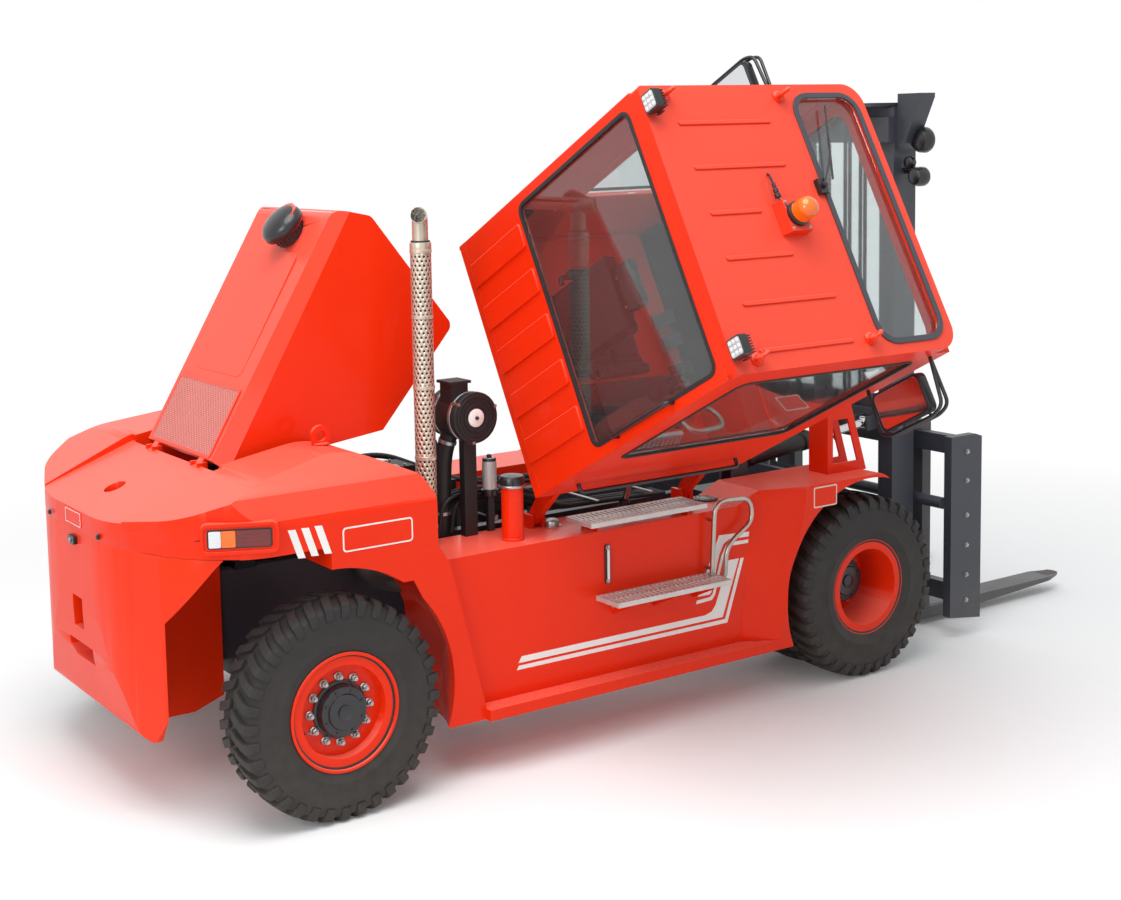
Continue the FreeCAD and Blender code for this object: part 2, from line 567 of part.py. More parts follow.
# --- axles -------------------------------------------------------------------------------------
drive = turned("drive_axle_shape", "wheelbase", "0", "tyre_r", [
    ("-900", "0"), ("-900", "70"), ("-880", "70"), ("-880", "drive_bore-running"), ("-780", "drive_bore-running"),
    ("-560", "120"), ("-560", "150"),
    ("-220", "160"), ("-150", "250"), ("150", "250"), ("220", "160"), ("560", "150"), ("560", "120"),
    ("780", "drive_bore-running"), ("880", "drive_bore-running"), ("880", "70"), ("900", "70"), ("900", "0")])
hang = block("axle_hanger", "wheelbase-110", "-rail_in-rail_t", "tyre_r", "220", "rail_t", "axle_notch_z-tyre_r-seat")
node("drive_axle", fuse("drive_axle_whole", [drive, hang, flip("axle_hanger_l", hang)]))
beam = block("steer_beam", "-110", "-700", "tyre_r-80", "220", "1400", "rail_low-seat-tyre_r+80")
yoke_top = block("steer_yoke_top", "-70", "-880", "tyre_r+110", "140", "240", "50")
yoke_low = block("steer_yoke_low", "-70", "-880", "tyre_r-160", "140", "240", "50")
yoke_web = block("steer_yoke_web", "-70", "-700", "tyre_r-160", "140", "60", "320")
king_pin = rod("king_pin", "z", "0", "-kingpin_y", "tyre_r-160", "26", "320")
steer_side = [yoke_top, yoke_low, yoke_web, king_pin]
cradle = block("steer_cradle", "-120", "-rail_in+seat", "tyre_r+75", "240", "2*(rail_in-seat)", "130")
node("steer_axle", fuse("steer_axle_whole", [beam, cradle] + steer_side
                        + [flip(t.Name + "_l", t) for t in steer_side]))


def knuckle(name):
    boss = rod(name + "_boss", "z", "0", "-kingpin_y", "tyre_r-160+50+gap", "58", "320-100-2*gap")
    arm = rod(name + "_stub", "y", "0", "-steer_wheel_y+20", "tyre_r", "hub_bore-running", "steer_wheel_y-kingpin_y+20")
    hole = rod(name + "_hole", "z", "0", "-kingpin_y", "tyre_r-200", "26.05", "400")
    return cut(name + "_cut", fuse(name + "_fused", [boss, arm]), [hole])


right_knuckle = knuckle("knuckle_shape")
node("right_knuckle", right_knuckle)
node("left_knuckle", flip("knuckle_l", knuckle("knuckle_l_source")))


# --- wheels: each outline is turned about the wheel's own axis ---------------------------------
TYRE = [("-tyre_w/2+45", "rim_r"), ("-tyre_w/2+38", "rim_r+40"), ("-tyre_w/2+16", "rim_r+58"),
        ("-tyre_w/2", "rim_r+148"), ("-tyre_w/2+16", "tyre_r-32"), ("-tyre_w/2+45", "tyre_r"),
        ("tyre_w/2-45", "tyre_r"), ("tyre_w/2-16", "tyre_r-32"), ("tyre_w/2", "rim_r+148"),
        ("tyre_w/2-16", "rim_r+58"), ("tyre_w/2-38", "rim_r+40"), ("tyre_w/2-45", "rim_r")]
STEER_RIM = [("-130", "0"), ("-130", "88"), ("-100", "130"), ("-75", "130"), ("-75", "rim_hole_r"),
             ("-132", "rim_hole_r"), ("-132", "rim_r+38"), ("-120", "rim_r+38"), ("-112", "rim_r"),
             ("112", "rim_r"), ("120", "rim_r+38"), ("132", "rim_r+38"), ("132", "rim_hole_r"),
             ("-50", "rim_hole_r"), ("-50", "130"), ("75", "112"), ("75", "hub_bore"), ("15", "hub_bore"), ("15", "0")]
DUAL_RIM = [("-130", "0"), ("-130", "85"), ("-100", "120"), ("-20", "130"), ("-20", "rim_hole_r"),
            ("-307", "rim_hole_r"), ("-307", "rim_r+38"), ("-295", "rim_r+38"), ("-287", "rim_r"),
            ("-63", "rim_r"), ("-55", "rim_r+38"), ("-43", "rim_r+38"), ("-43", "rim_r"), ("43", "rim_r"),
            ("43", "rim_r+38"), ("55", "rim_r+38"), ("63", "rim_r"), ("287", "rim_r"), ("295", "rim_r+38"),
            ("307", "rim_r+38"), ("307", "rim_hole_r"), ("5", "rim_hole_r"), ("5", "150"), ("90", "150"),
            ("90", "drive_bore"), ("-10", "drive_bore"), ("-10", "0")]


def steer_tyre(name):
    return turned(name, "0", "-steer_wheel_y", "tyre_r", TYRE)


def steer_rim(name):
    return turned(name, "0", "-steer_wheel_y", "tyre_r", STEER_RIM)


def drive_tyres(name):
    return group(name, [turned(name + "_outer", "wheelbase", "-outer_wheel_y", "tyre_r", TYRE),
                        turned(name + "_inner", "wheelbase", "-inner_wheel_y", "tyre_r", TYRE)])


def drive_rim(name):
    return turned(name, "wheelbase", "-(outer_wheel_y+inner_wheel_y)/2", "tyre_r", DUAL_RIM)


node("rear_right_tyre", steer_tyre("steer_tyre_r"))
node("rear_right_rim", steer_rim("steer_rim_r"))
node("rear_left_tyre", flip("steer_tyre_l", steer_tyre("steer_tyre_l_source")))
node("rear_left_rim", flip("steer_rim_l", steer_rim("steer_rim_l_source")))
node("front_right_tyres", drive_tyres("drive_tyre_r"))
node("front_right_rim", drive_rim("drive_rim_r"))
node("front_left_tyres", flip("drive_tyre_l", drive_tyres("drive_tyre_l_source")))
node("front_left_rim", flip("drive_rim_l", drive_rim("drive_rim_l_source")))


# --- mast: outer channels, inner channels, carriage, forks -------------------------------------
def channel(name, x0, x1, y0, y1, web, z0, height):
    """An upright channel whose web is at y0 and whose flanges reach to y1."""
    return prism(name, "XY", z0, height, [
        (x0, y0), (x1, y0), (x1, y1), (x1 + "-" + web, y1), (x1 + "-" + web, y0 + "+" + web),
        (x0 + "+" + web, y0 + "+" + web), (x0 + "+" + web, y1), (x0, y1)])


outer_rail = channel("outer_rail", "mast_back", "mast_back+mast_depth", "-rail_out", "-rail_out+120",
                     "web_t", "mast_low", "mast_top-mast_low")
ties = [block("outer_tie_%d" % k, "mast_back-50", "-rail_out", z, "50", "2*rail_out", height)
        for k, (z, height) in enumerate((("mast_low+20", "260"), ("tilt_eye_z-70", "150"), ("mast_top-220", "160")))]
outer_bits = [outer_rail, flip("outer_rail_l", outer_rail)] + ties
for k, y in enumerate(("-490", "436")):
    ear = prism("mast_ear_%d" % k, "XZ", y, "54", [
        ("mast_back-50", "mast_low+280"), ("pivot_x-10", "pivot_z+70"), ("pivot_x-70", "pivot_z+20"),
        ("pivot_x-70", "pivot_z-40"), ("pivot_x-20", "pivot_z-80"), ("mast_back-50", "mast_low+60")])
    outer_bits.append(cut("mast_ear_cut_%d" % k, ear, [rod("mast_ear_hole_%d" % k, "y", "pivot_x", y + "-5",
                                                           "pivot_z", "38.05", "64")]))
tilt_ear = [block("tilt_ear_%d" % k, "tilt_eye_x-40", y, "tilt_eye_z-45", "mast_back-tilt_eye_x+40", "20", "90")
            for k, y in enumerate(("-tilt_y-62", "-tilt_y+42"))]
tilt_pin = rod("tilt_pin", "y", "tilt_eye_x", "-tilt_y-62", "tilt_eye_z", "15", "124")
lift_barrel = cut("lift_barrel", rod("lift_tube", "z", "mast_back-115", "-lift_y", "mast_low+40", "60", "1900"),
                  [rod("lift_bore", "z", "mast_back-115", "-lift_y", "mast_low+80", "lift_r+gap", "1900")])
lift_foot = block("lift_foot", "mast_back-180", "-lift_y-70", "mast_low+20", "135", "140", "40")
# a lamp bracket stands out from the head of each outer rail
bracket = prism("lamp_bracket", "YZ", "mast_back+30", "130", [
    ("-rail_out", "mast_top-280"), ("-rail_out-60", "mast_top-230"), ("-rail_out-190", "mast_top+60"),
    ("-rail_out-190", "mast_top+85"), ("-rail_out", "mast_top+85")])
side_bits = tilt_ear + [tilt_pin, lift_barrel, lift_foot, bracket]
outer_bits += side_bits + [flip(e.Name + "_l", e) for e in side_bits]
node("mast_outer", fuse("mast_outer_whole", outer_bits))


# the inner channels run inside the outer ones on the working clearance
IN_BACK, IN_FRONT = "mast_back+web_t+gap", "mast_back+mast_depth-web_t-gap"
inner_rail = channel("inner_rail", IN_BACK, IN_FRONT, "-rail_out+web_t+gap", "-rail_out+web_t+gap+90", "20",
                     "mast_low+20", "mast_top-mast_low-20")
bits = [inner_rail, flip("inner_rail_l", inner_rail)]
for k, z in enumerate(("mast_low+30", "1500", "mast_top-130")):
    bits.append(block("inner_tie_%d" % k, IN_BACK, "-rail_out+web_t+gap", z, "15", "2*(rail_out-web_t-gap)", "120"))
head = block("inner_head", "mast_back-180", "-rail_out+web_t+gap", "mast_top+gap", "mast_depth+150",
             "2*(rail_out-web_t-gap)", "24")
neck = block("inner_head_neck", IN_BACK, "-rail_out+web_t+gap", "mast_top-10", "40", "2*(rail_out-web_t-gap)", "20+gap")
lift_rod = rod("lift_rod", "z", "mast_back-115", "-lift_y", "mast_low+240", "lift_r", "mast_top+gap-mast_low-240")
piston = rod("lift_piston", "z", "mast_back-115", "-lift_y", "mast_low+240", "lift_r+gap-running", "80")
bits += [head, neck, lift_rod, piston, flip("lift_rod_l", lift_rod), flip("lift_piston_l", piston)]
node("mast_inner", fuse("mast_inner_whole", bits))

BAR_TOP = "bar_top_z+bar_h"
side = block("carriage_side", "mast_back+85", "-rail_out+140", "260", "bar_x-mast_back-85", "30", "1080")
rollers = [rod("carriage_roller_%d" % k, "y", "mast_back+mast_depth/2", "-rail_out+60", z,
               "(mast_depth-2*web_t-2*gap-40)/2-seat", "90") for k, z in enumerate(("380", "1240"))]
bars = [block("carriage_bar_%d" % k, "bar_x", "-carriage_half-10", z, "bar_t", "2*carriage_half+20", "bar_h")
        for k, z in enumerate(("bar_top_z", "250"))]
end = prism("carriage_end", "XZ", "-carriage_half-60", "60", [
    ("bar_x-40", "150"), ("bar_x+250", "110"), ("bar_x+250", BAR_TOP + "-20"), ("bar_x+190", BAR_TOP),
    ("bar_x-40", BAR_TOP)])
end_gap = prism("carriage_end_gap", "XZ", "-carriage_half-10", "20", [
    ("bar_x+100", "190"), ("bar_x+215", "190"), ("bar_x+215", "bar_top_z-40"), ("bar_x+100", "bar_top_z-40")])
plate = cut("carriage_end_cut", end, [end_gap])
# the fork positioning cylinders lie across the carriage behind the forks
mover = rod("fork_mover", "y", "bar_x-50", "-carriage_half-5", "910", "38", "2*carriage_half+10")
half = [side, plate] + rollers
node("carriage", fuse("carriage_whole", half + [flip(h.Name + "_l", h) for h in half] + bars + [mover]))


def fork(name):
    blade = prism(name, "XZ", "-fork_y-fork_w/2", "fork_w", [
        ("fork_face-fork_t", "fork_top-fork_t+20"), ("fork_face-fork_t+20", "fork_top-fork_t"),
        ("fork_face+250", "fork_top-fork_t"), ("fork_face+fork_len", "fork_top-20"),
        ("fork_face+fork_len", "fork_top"), ("fork_face", "fork_top"), ("fork_face", BAR_TOP + "+50"),
        ("fork_face-fork_t", BAR_TOP + "+50")])
    tips = prism(name + "_plan", "XY", "0", "1600", [
        ("fork_face-500", "-fork_y-fork_w/2"), ("fork_face-500", "-fork_y+fork_w/2"),
        ("fork_face+fork_len-160", "-fork_y+fork_w/2"), ("fork_face+fork_len", "-fork_y+fork_w/2-55"),
        ("fork_face+fork_len", "-fork_y-fork_w/2+55"), ("fork_face+fork_len-160", "-fork_y-fork_w/2")],
        [((2, 5), "120"), ((3, 4), "30")])
    hook = block(name + "_hook", "bar_x+4", "-fork_y-fork_w/2", BAR_TOP + "+seat",
                 "fork_face-fork_t-bar_x", "fork_w", "42")
    return fuse(name + "_whole", [common(name + "_blade", blade, tips), hook])


node("right_fork", fork("fork_r"))
node("left_fork", flip("fork_l", fork("fork_l_source")))


# --- tilt cylinders: the barrel swings on the tower, the rod reaches to the mast ------------------
TILT_AT = 'create(<<placement>>; %s; create(<<rotation>>; %s; %s); %s)'


def lean_tilt(piece):
    """Turn a cylinder drawn level from its rear pin so that it points at its front pin."""
    rise = "atan((tilt_eye_z-tilt_base_z)/(tilt_eye_x-tilt_base_x))"
    piece.setExpression("Placement", cell(TILT_AT % (VEC % ("tilt_base_x", "-tilt_y", "tilt_base_z"),
                                                     VEC % (0, -1, 0), rise, VEC % (0, 0, 0))))
    return piece


REACH = "sqrt((tilt_eye_x-tilt_base_x)^2+(tilt_eye_z-tilt_base_z)^2)"


def tilt_barrel(name):
    eye = rod(name + "_eye", "y", "0", "-42+seat", "0", "44", "84-2*seat")
    tube = rod(name + "_tube", "x", "30", "0", "0", "55", "600")
    bore = rod(name + "_bore", "x", "60", "0", "0", "tilt_rod_r+running", "600")
    hole = rod(name + "_hole", "y", "0", "-50", "0", "25.05", "100")
    slim = block(name + "_slim", "-60", "-60", "-60", "145", "18+seat", "120")
    return lean_tilt(cut(name + "_cut", fuse(name + "_fused", [eye, tube]), [bore, hole, slim,
                                                                             flip(name + "_slim_l", slim)]))


def tilt_rod(name):
    eye = rod(name + "_eye", "y", REACH, "-34", "0", "40", "68")
    shaft = rod(name + "_shaft", "x", REACH + "-830", "0", "0", "tilt_rod_r", "800")
    hole = rod(name + "_hole", "y", REACH, "-50", "0", "25", "100")
    return lean_tilt(cut(name + "_cut", fuse(name + "_fused", [eye, shaft]), [hole]))


node("right_tilt_barrel", group("tilt_barrel_r_at", [tilt_barrel("tilt_barrel_r")]))
node("right_tilt_rod", group("tilt_rod_r_at", [tilt_rod("tilt_rod_r")]))
node("left_tilt_barrel", flip("tilt_barrel_l", tilt_barrel("tilt_barrel_l_source")))
node("left_tilt_rod", flip("tilt_rod_l", tilt_rod("tilt_rod_l_source")))

# --- cab: drawn level and closed, then tilted about its hinge pins -------------------------------
ROOF = "cab_floor+cab_high"
WALL_H = "cab_high-130"
floor = block("cab_floor_pan", "cab_back", "-cab_half", "cab_floor", "cab_len", "2*cab_half", "60")
seat_box = block("cab_seat_box", "cab_back+200", "-260", "cab_floor+60", "420", "520", "300")
hinge_bits = []
for k, x in enumerate(("cab_back+150", "cab_back+cab_len-250")):
    hinge_bits.append(rod("cab_hinge_eye_%d" % k, "x", x, "cab_pin_y", "cab_pin_z", "cab_pin_r+20", "40"))
    hinge_bits.append(prism("cab_hinge_%d" % k, "YZ", x, "40", [
        ("cab_pin_y-30", "cab_pin_z+10"), ("cab_pin_y+30", "cab_pin_z-10"), ("cab_pin_y+200", "cab_floor+5"),
        ("cab_pin_y+60", "cab_floor+5")]))
bores = [rod("cab_hinge_bore_%d" % k, "x", x, "cab_pin_y", "cab_pin_z", "cab_pin_r+0.05", "60")
         for k, x in enumerate(("cab_back+140", "cab_back+cab_len-260"))]
ears = [block("ram_ear_%d" % k, x, "ram_eye_y-45", "ram_eye_z-30", "14", "90", "cab_floor-ram_eye_z+35")
        for k, x in enumerate(("ram_x-62", "ram_x+48"))]
# the two halves of the ram's upper pin stop short of the eye between them
ears += [rod("ram_stub_%d" % k, "x", x, "ram_eye_y", "ram_eye_z", "14", "24-gap/2") for k, x in enumerate(("ram_x-54", "ram_x+30+gap/2"))]
node("cab_floor", cut("cab_floor_cut", fuse("cab_floor_whole", [floor, seat_box] + hinge_bits + ears), bores), "cab")
rear = block("cab_rear_pan", "cab_back", "-cab_half", "cab_floor+60", "skin", "2*cab_half", WALL_H)
rear_hole = prism("cab_rear_hole", "YZ", "cab_back-10", "skin+20", [
    ("-cab_half+70", "cab_floor+640"), ("cab_half-70", "cab_floor+640"), ("cab_half-70", ROOF + "-130"),
    ("-cab_half+70", ROOF + "-130")], [((0, 1, 2, 3), "45")])
node("cab_rear_wall", cut("cab_rear_cut", rear, [rear_hole]), "cab")


def side_frame(name, y, windows):
    pan = block(name + "_pan", "cab_back+skin", y, "cab_floor+60", "cab_len-2*skin", "skin", WALL_H)
    return cut(name + "_cut", pan, windows)


def side_hole(name, y, back, front, low, high, radius):
    """An opening in a side wall between two places along the cab and two heights above its floor."""
    return prism(name, "XZ", y, "skin+20", [
        ("cab_back+" + back, "cab_floor+" + low), ("cab_back+cab_len-" + front, "cab_floor+" + low),
        ("cab_back+cab_len-" + front, ROOF + "-" + high), ("cab_back+" + back, ROOF + "-" + high)],
        [((0, 1, 2, 3), radius)])


right_window = side_hole("cab_right_hole", "-cab_half-10", "160", "170", "600", "160", "60")
node("cab_right_side", side_frame("cab_right", "-cab_half", [right_window]), "cab")
door_hole = side_hole("cab_door_hole", "cab_half-skin-10", "door_back", "150", "120", "150", "40")
node("cab_left_side", side_frame("cab_left", "cab_half-skin", [door_hole]), "cab")
front = block("cab_front_pan", "cab_back+cab_len-skin", "-cab_half", "cab_floor+60", "skin", "2*cab_half", WALL_H)
front_hole = prism("cab_front_hole", "YZ", "cab_back+cab_len-skin-10", "skin+20", [
    ("-cab_half+80", "cab_floor+380"), ("cab_half-80", "cab_floor+380"), ("cab_half-80", ROOF + "-140"),
    ("-cab_half+80", ROOF + "-140")], [((0, 1, 2, 3), "90")])
node("cab_front_wall", cut("cab_front_cut", front, [front_hole]), "cab")
roof = prism("cab_roof_pan", "XY", ROOF + "-70", "70", [
    ("cab_back", "-cab_half"), ("cab_back+cab_len", "-cab_half"), ("cab_back+cab_len", "cab_half"),
    ("cab_back", "cab_half")], [((1, 2), "120"), ((0, 3), "25")])
roof_hole = prism("cab_roof_hole", "XY", ROOF + "-80", "90", [
    ("cab_back+cab_len-500", "-cab_half+75"), ("cab_back+cab_len-75", "-cab_half+75"),
    ("cab_back+cab_len-75", "cab_half-75"), ("cab_back+cab_len-500", "cab_half-75")],
    [((1, 2), "80"), ((0, 3), "40")])
node("cab_roof", cut("cab_roof_cut", roof, [roof_hole]), "cab")


def side_panel(name, y, thick, back, front, low, high, radius):
    """A flat piece that fills an opening of side_hole on the clearance given."""
    return prism(name, "XZ", y, thick, [
        ("cab_back+" + back, "cab_floor+" + low), ("cab_back+cab_len-" + front, "cab_floor+" + low),
        ("cab_back+cab_len-" + front, ROOF + "-" + high), ("cab_back+" + back, ROOF + "-" + high)],
        [((0, 1, 2, 3), radius)])


door = side_panel("cab_door_pan", "cab_half-skin", "skin", "door_back+gap", "150-gap", "120+gap", "150-gap", "34")
door_window = side_hole("cab_door_window", "cab_half-skin-10", "door_back+80", "230", "640", "220", "50")
door_hinges = [rod("door_hinge_%d" % k, "z", "cab_back+door_back+gap", "cab_half+door_r-1", z, "door_r", "90")
               for k, z in enumerate(("cab_floor+300", "cab_floor+1400"))]
node("cab_door", cut("cab_door_cut", fuse("cab_door_whole", [door] + door_hinges), [door_window]), "cab")

panes = [
    prism("rear_glass", "YZ", "cab_back+12", "6", [
        ("-cab_half+70.5", "cab_floor+640.5"), ("cab_half-70.5", "cab_floor+640.5"),
        ("cab_half-70.5", ROOF + "-130.5"), ("-cab_half+70.5", ROOF + "-130.5")], [((0, 1, 2, 3), "45")]),
    side_panel("right_glass", "-cab_half+12", "6", "160.5", "170.5", "600.5", "160.5", "60"),
    prism("front_glass", "YZ", "cab_back+cab_len-18", "6", [
        ("-cab_half+80.5", "cab_floor+380.5"), ("cab_half-80.5", "cab_floor+380.5"),
        ("cab_half-80.5", ROOF + "-140.5"), ("-cab_half+80.5", ROOF + "-140.5")], [((0, 1, 2, 3), "90")]),
    prism("roof_glass", "XY", ROOF + "-24", "6", [
        ("cab_back+cab_len-499.5", "-cab_half+75.5"), ("cab_back+cab_len-75.5", "-cab_half+75.5"),
        ("cab_back+cab_len-75.5", "cab_half-75.5"), ("cab_back+cab_len-499.5", "cab_half-75.5")],
        [((1, 2), "80"), ((0, 3), "40")])]
node("cab_glass", group("cab_glass_whole", panes), "cab")
node("door_glass", side_panel("door_pane", "cab_half-18", "6", "door_back+80.5", "230.5", "640.5", "220.5", "50"),
     "cab")
cushion = block("seat_cushion", "cab_back+210", "-250", "cab_floor+360+seat", "470", "500", "110")
back = prism("seat_back", "XZ", "-230", "460", [
    ("cab_back+210", "cab_floor+450"), ("cab_back+320", "cab_floor+450"), ("cab_back+200", "cab_floor+1080"),
    ("cab_back+110", "cab_floor+1080")])
node("seat", fuse("seat_whole", [cushion, back]), "cab")
dash = prism("dash_body", "XZ", "-cab_half+skin+seat", "2*(cab_half-skin-seat)", [
    ("cab_back+cab_len-skin-200", "cab_floor+60+seat"), ("cab_back+cab_len-skin-seat", "cab_floor+60+seat"),
    ("cab_back+cab_len-skin-seat", "cab_floor+370"), ("cab_back+cab_len-skin-150", "cab_floor+370")])
column = rod("steer_column", "z", "cab_back+cab_len-skin-110", "0", "cab_floor+360", "30", "340")
wheel = rod("steer_wheel", "z", "cab_back+cab_len-skin-200", "0", "cab_floor+700", "180", "30")
node("controls", fuse("controls_whole", [dash, column, wheel]), "cab")


def mirror(name, low, out):
    """A mirror on two arms from the front pillar: height of its foot and distance out."""
    head = block(name + "_head", "cab_back+cab_len-150", "-cab_half-200-(%s)" % out, "cab_floor+" + low, "60", "200",
                 "380")
    arms = [block(name + "_arm_%d" % k, "cab_back+cab_len-100", "-cab_half-100-(%s)" % out, "cab_floor+%s+%d" % (low, z),
                  "24", "100-seat+(%s)" % out, "24") for k, z in enumerate((40, 320))]
    return fuse(name + "_whole", [head] + arms)


far_mirror = flip("mirror_far", mirror("mirror_far_source", "900", "320"))
node("mirrors", group("mirror_pair", [mirror("mirror_near", "1280", "90"), far_mirror]), "cab")
lamps = [block("lamp_r", "cab_back+15", "-cab_half+60", ROOF + "+seat", "90", "110", "100"),
         block("lamp_l", "cab_back+15", "cab_half-170", ROOF + "+seat", "90", "110", "100")]
foot = block("beacon_foot", "cab_back+600", "-80", ROOF + "+seat", "130", "160", "60")
dome = rod("beacon_dome", "z", "cab_back+665", "0", ROOF + "+55", "55", "135")
node("roof_lights", group("roof_lights_whole", lamps + [fuse("beacon_whole", [foot, dome])]), "cab")

# --- cab tilt ram ---------------------------------------------------------------------------------
values("Cab ram worked out", [
    ("ram_eye_now_y", "=cab_pin_y+(ram_eye_y-cab_pin_y)*cos(cab_tilt*1deg)-(ram_eye_z-cab_pin_z)*sin(cab_tilt*1deg)",
     "upper pin with the cab as shown"),
    ("ram_eye_now_z", "=cab_pin_z+(ram_eye_y-cab_pin_y)*sin(cab_tilt*1deg)+(ram_eye_z-cab_pin_z)*cos(cab_tilt*1deg)",
     "upper pin with the cab as shown"),
])
doc.recompute()
RAM_REACH = "sqrt((ram_eye_now_y-ram_base_y)^2+(ram_eye_now_z-ram_base_z)^2)"


def lean_ram(piece):
    lean = "atan((ram_base_y-ram_eye_now_y)/(ram_eye_now_z-ram_base_z))"
    piece.setExpression("Placement", cell(TILT_AT % (VEC % ("ram_x", "ram_base_y", "ram_base_z"),
                                                     VEC % (1, 0, 0), lean, VEC % (0, 0, 0))))
    return piece


barrel = cut("ram_barrel_cut", fuse("ram_barrel_fused", [
    rod("ram_barrel_eye", "x", "-34", "0", "0", "32", "68"), rod("ram_barrel_tube", "z", "0", "0", "24", "32", "630")]),
    [rod("ram_barrel_bore", "z", "0", "0", "44", "ram_rod_r+running", "700"),
     rod("ram_barrel_hole", "x", "-40", "0", "0", "15.05", "80")])
shaft = cut("ram_rod_cut", fuse("ram_rod_fused", [
    rod("ram_rod_eye", "x", "-24", "0", RAM_REACH, "30", "48"),
    rod("ram_rod_shaft", "z", "0", "0", RAM_REACH + "-560", "ram_rod_r", "540")]),
    [rod("ram_rod_hole", "x", "-40", "0", RAM_REACH, "16", "80")])
node("ram_barrel", group("ram_barrel_at", [lean_ram(barrel)]))
node("ram_rod", group("ram_rod_at", [lean_ram(shaft)]))

# --- engine cover: drawn closed, then swung open about its rear edge -----------------------------
HX, HZ = "hood_pin_x", "hood_pin_z"
HOOD = [(HX + "+30", HZ + "+20"), (HX + "+hood_len", HZ + "+hood_rise"), (HX + "+hood_len+105", HZ + "+hood_rise-170"),
        (HX + "+hood_len", HZ + "-hood_deep"), (HX + "+760", HZ + "-hood_deep-40"), (HX + "+30", HZ + "-60")]
INNER = [(HX + "-20", HZ + "-sheet-10"), (HX + "+hood_len-10", HZ + "+hood_rise-sheet"),
         (HX + "+hood_len+75", HZ + "+hood_rise-110"), (HX + "+hood_len+300", HZ + "-hood_deep-90"),
         (HX + "+400", HZ + "-hood_deep-90"), (HX + "-20", HZ + "-200")]


def hood_form(name, points, half, drop, bends=()):
    """The cover's side outline across its width, with both top edges chamfered along the slope."""
    body = prism(name, "XZ", "-(%s)" % half, "2*(%s)" % half, points, bends)
    edge = prism(name + "_chamfer", "YZ", "-100", "1750", [
        ("-hood_half-5", "-70-(%s)" % drop), ("-hood_half+80", "15-(%s)" % drop), ("-hood_half+80", "60"),
        ("-hood_half-5", "60")])
    edge.setExpression("Placement", cell(PLACE % (VEC % ("hood_pin_x", "0", "hood_pin_z"), VEC % (0, -1, 0),
                                                  "atan(hood_rise/hood_len)", VEC % (0, 0, 0))))
    return cut(name + "_form", body, [edge, flip(name + "_chamfer_l", edge)])


hood_out = hood_form("hood_block", HOOD, "hood_half", "0", [((1,), "70"), ((2,), "60"), ((3,), "50")])
hood_in = hood_form("hood_room", INNER, "hood_half-sheet", "1.4*sheet+10")
hood_shell = cut("hood_cut", hood_out, [hood_in])
lugs = [cut("hood_lug_cut_%d" % k, prism("hood_lug_%d" % k, "XZ", "-330", "60", [
    (HX + "-14", HZ + "-14"), (HX + "+60", HZ + "-14"), (HX + "+60", HZ + "+22"), (HX + "-14", HZ + "+14")]),
    [rod("hood_lug_hole_%d" % k, "y", HX, "-340", HZ, "hood_pin_r+0.05", "80")]) for k in (0,)]
lugs.append(flip("hood_lug_l", lugs[0]))
ALONG = "1360*cos(atan(hood_rise/hood_len))"
RISE = "1360*sin(atan(hood_rise/hood_len))"
cleaner_cap = [rod("precleaner_neck", "z", HX + "+" + ALONG, "-120", HZ + "+" + RISE + "-30", "60", "90"),
               rod("precleaner_cap", "z", HX + "+" + ALONG, "-120", HZ + "+" + RISE + "+50", "110", "70")]
node("hood", fuse("hood_whole", [hood_shell] + lugs + cleaner_cap), "hood")

# --- finish ------------------------------------------------------------------------------------
doc.recompute()
faults = [o.Name for o in doc.Objects if "Invalid" in o.State or "Error" in o.State]
faults += [p.Label for p in nodes if p.Shape.isNull() or not p.Shape.isValid()]
if faults:
    raise SystemExit("faulty pieces: " + ", ".join(faults))
os.makedirs("parts", exist_ok=True)
whole = FreeCAD.BoundBox()
for piece in nodes:
    piece.Shape.exportStep("parts/%s.step" % piece.Label)
    whole.add(piece.Shape.BoundBox)
print(len(nodes), "pieces", whole)
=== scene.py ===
# %% [markdown]
# A heavy diesel forklift, shown in service position: the cab is rolled over to the right and the
# engine cover stands open. The CAD model brings every large shape. Here each shape gets its finish,
# and the small parts that make it a real machine are added: tread, nuts, hoses, lamps, glass seals.

# %% The frame
import json
import math
import random
import bmesh
import bpy
from mathutils import Matrix, Vector


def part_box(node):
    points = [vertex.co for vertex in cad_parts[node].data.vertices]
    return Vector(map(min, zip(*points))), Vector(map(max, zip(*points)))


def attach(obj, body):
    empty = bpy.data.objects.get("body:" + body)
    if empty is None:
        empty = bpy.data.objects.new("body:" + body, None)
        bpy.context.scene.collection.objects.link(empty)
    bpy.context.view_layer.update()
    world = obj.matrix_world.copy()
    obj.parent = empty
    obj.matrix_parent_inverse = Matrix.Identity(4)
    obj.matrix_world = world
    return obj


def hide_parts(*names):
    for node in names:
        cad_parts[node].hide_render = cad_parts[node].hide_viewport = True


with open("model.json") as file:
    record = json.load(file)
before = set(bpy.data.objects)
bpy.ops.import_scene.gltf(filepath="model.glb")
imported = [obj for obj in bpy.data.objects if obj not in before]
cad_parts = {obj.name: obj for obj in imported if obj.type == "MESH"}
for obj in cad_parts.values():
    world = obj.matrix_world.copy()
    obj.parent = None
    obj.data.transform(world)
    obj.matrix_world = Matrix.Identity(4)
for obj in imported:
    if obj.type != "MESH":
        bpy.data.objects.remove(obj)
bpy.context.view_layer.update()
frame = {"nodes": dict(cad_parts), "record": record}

# %% [markdown]
# A fitter measures a truck from its own datum, not from the middle of the hall. The datum here is
# the steering axle, the centre plane and the ground: x forward, y to the left, z up. TRUCK moves
# such a measure into the frame. The cab and the cover are measured closed, and one matrix each
# carries them to where they stand now, so a window seal is drawn upright and lands tilted.

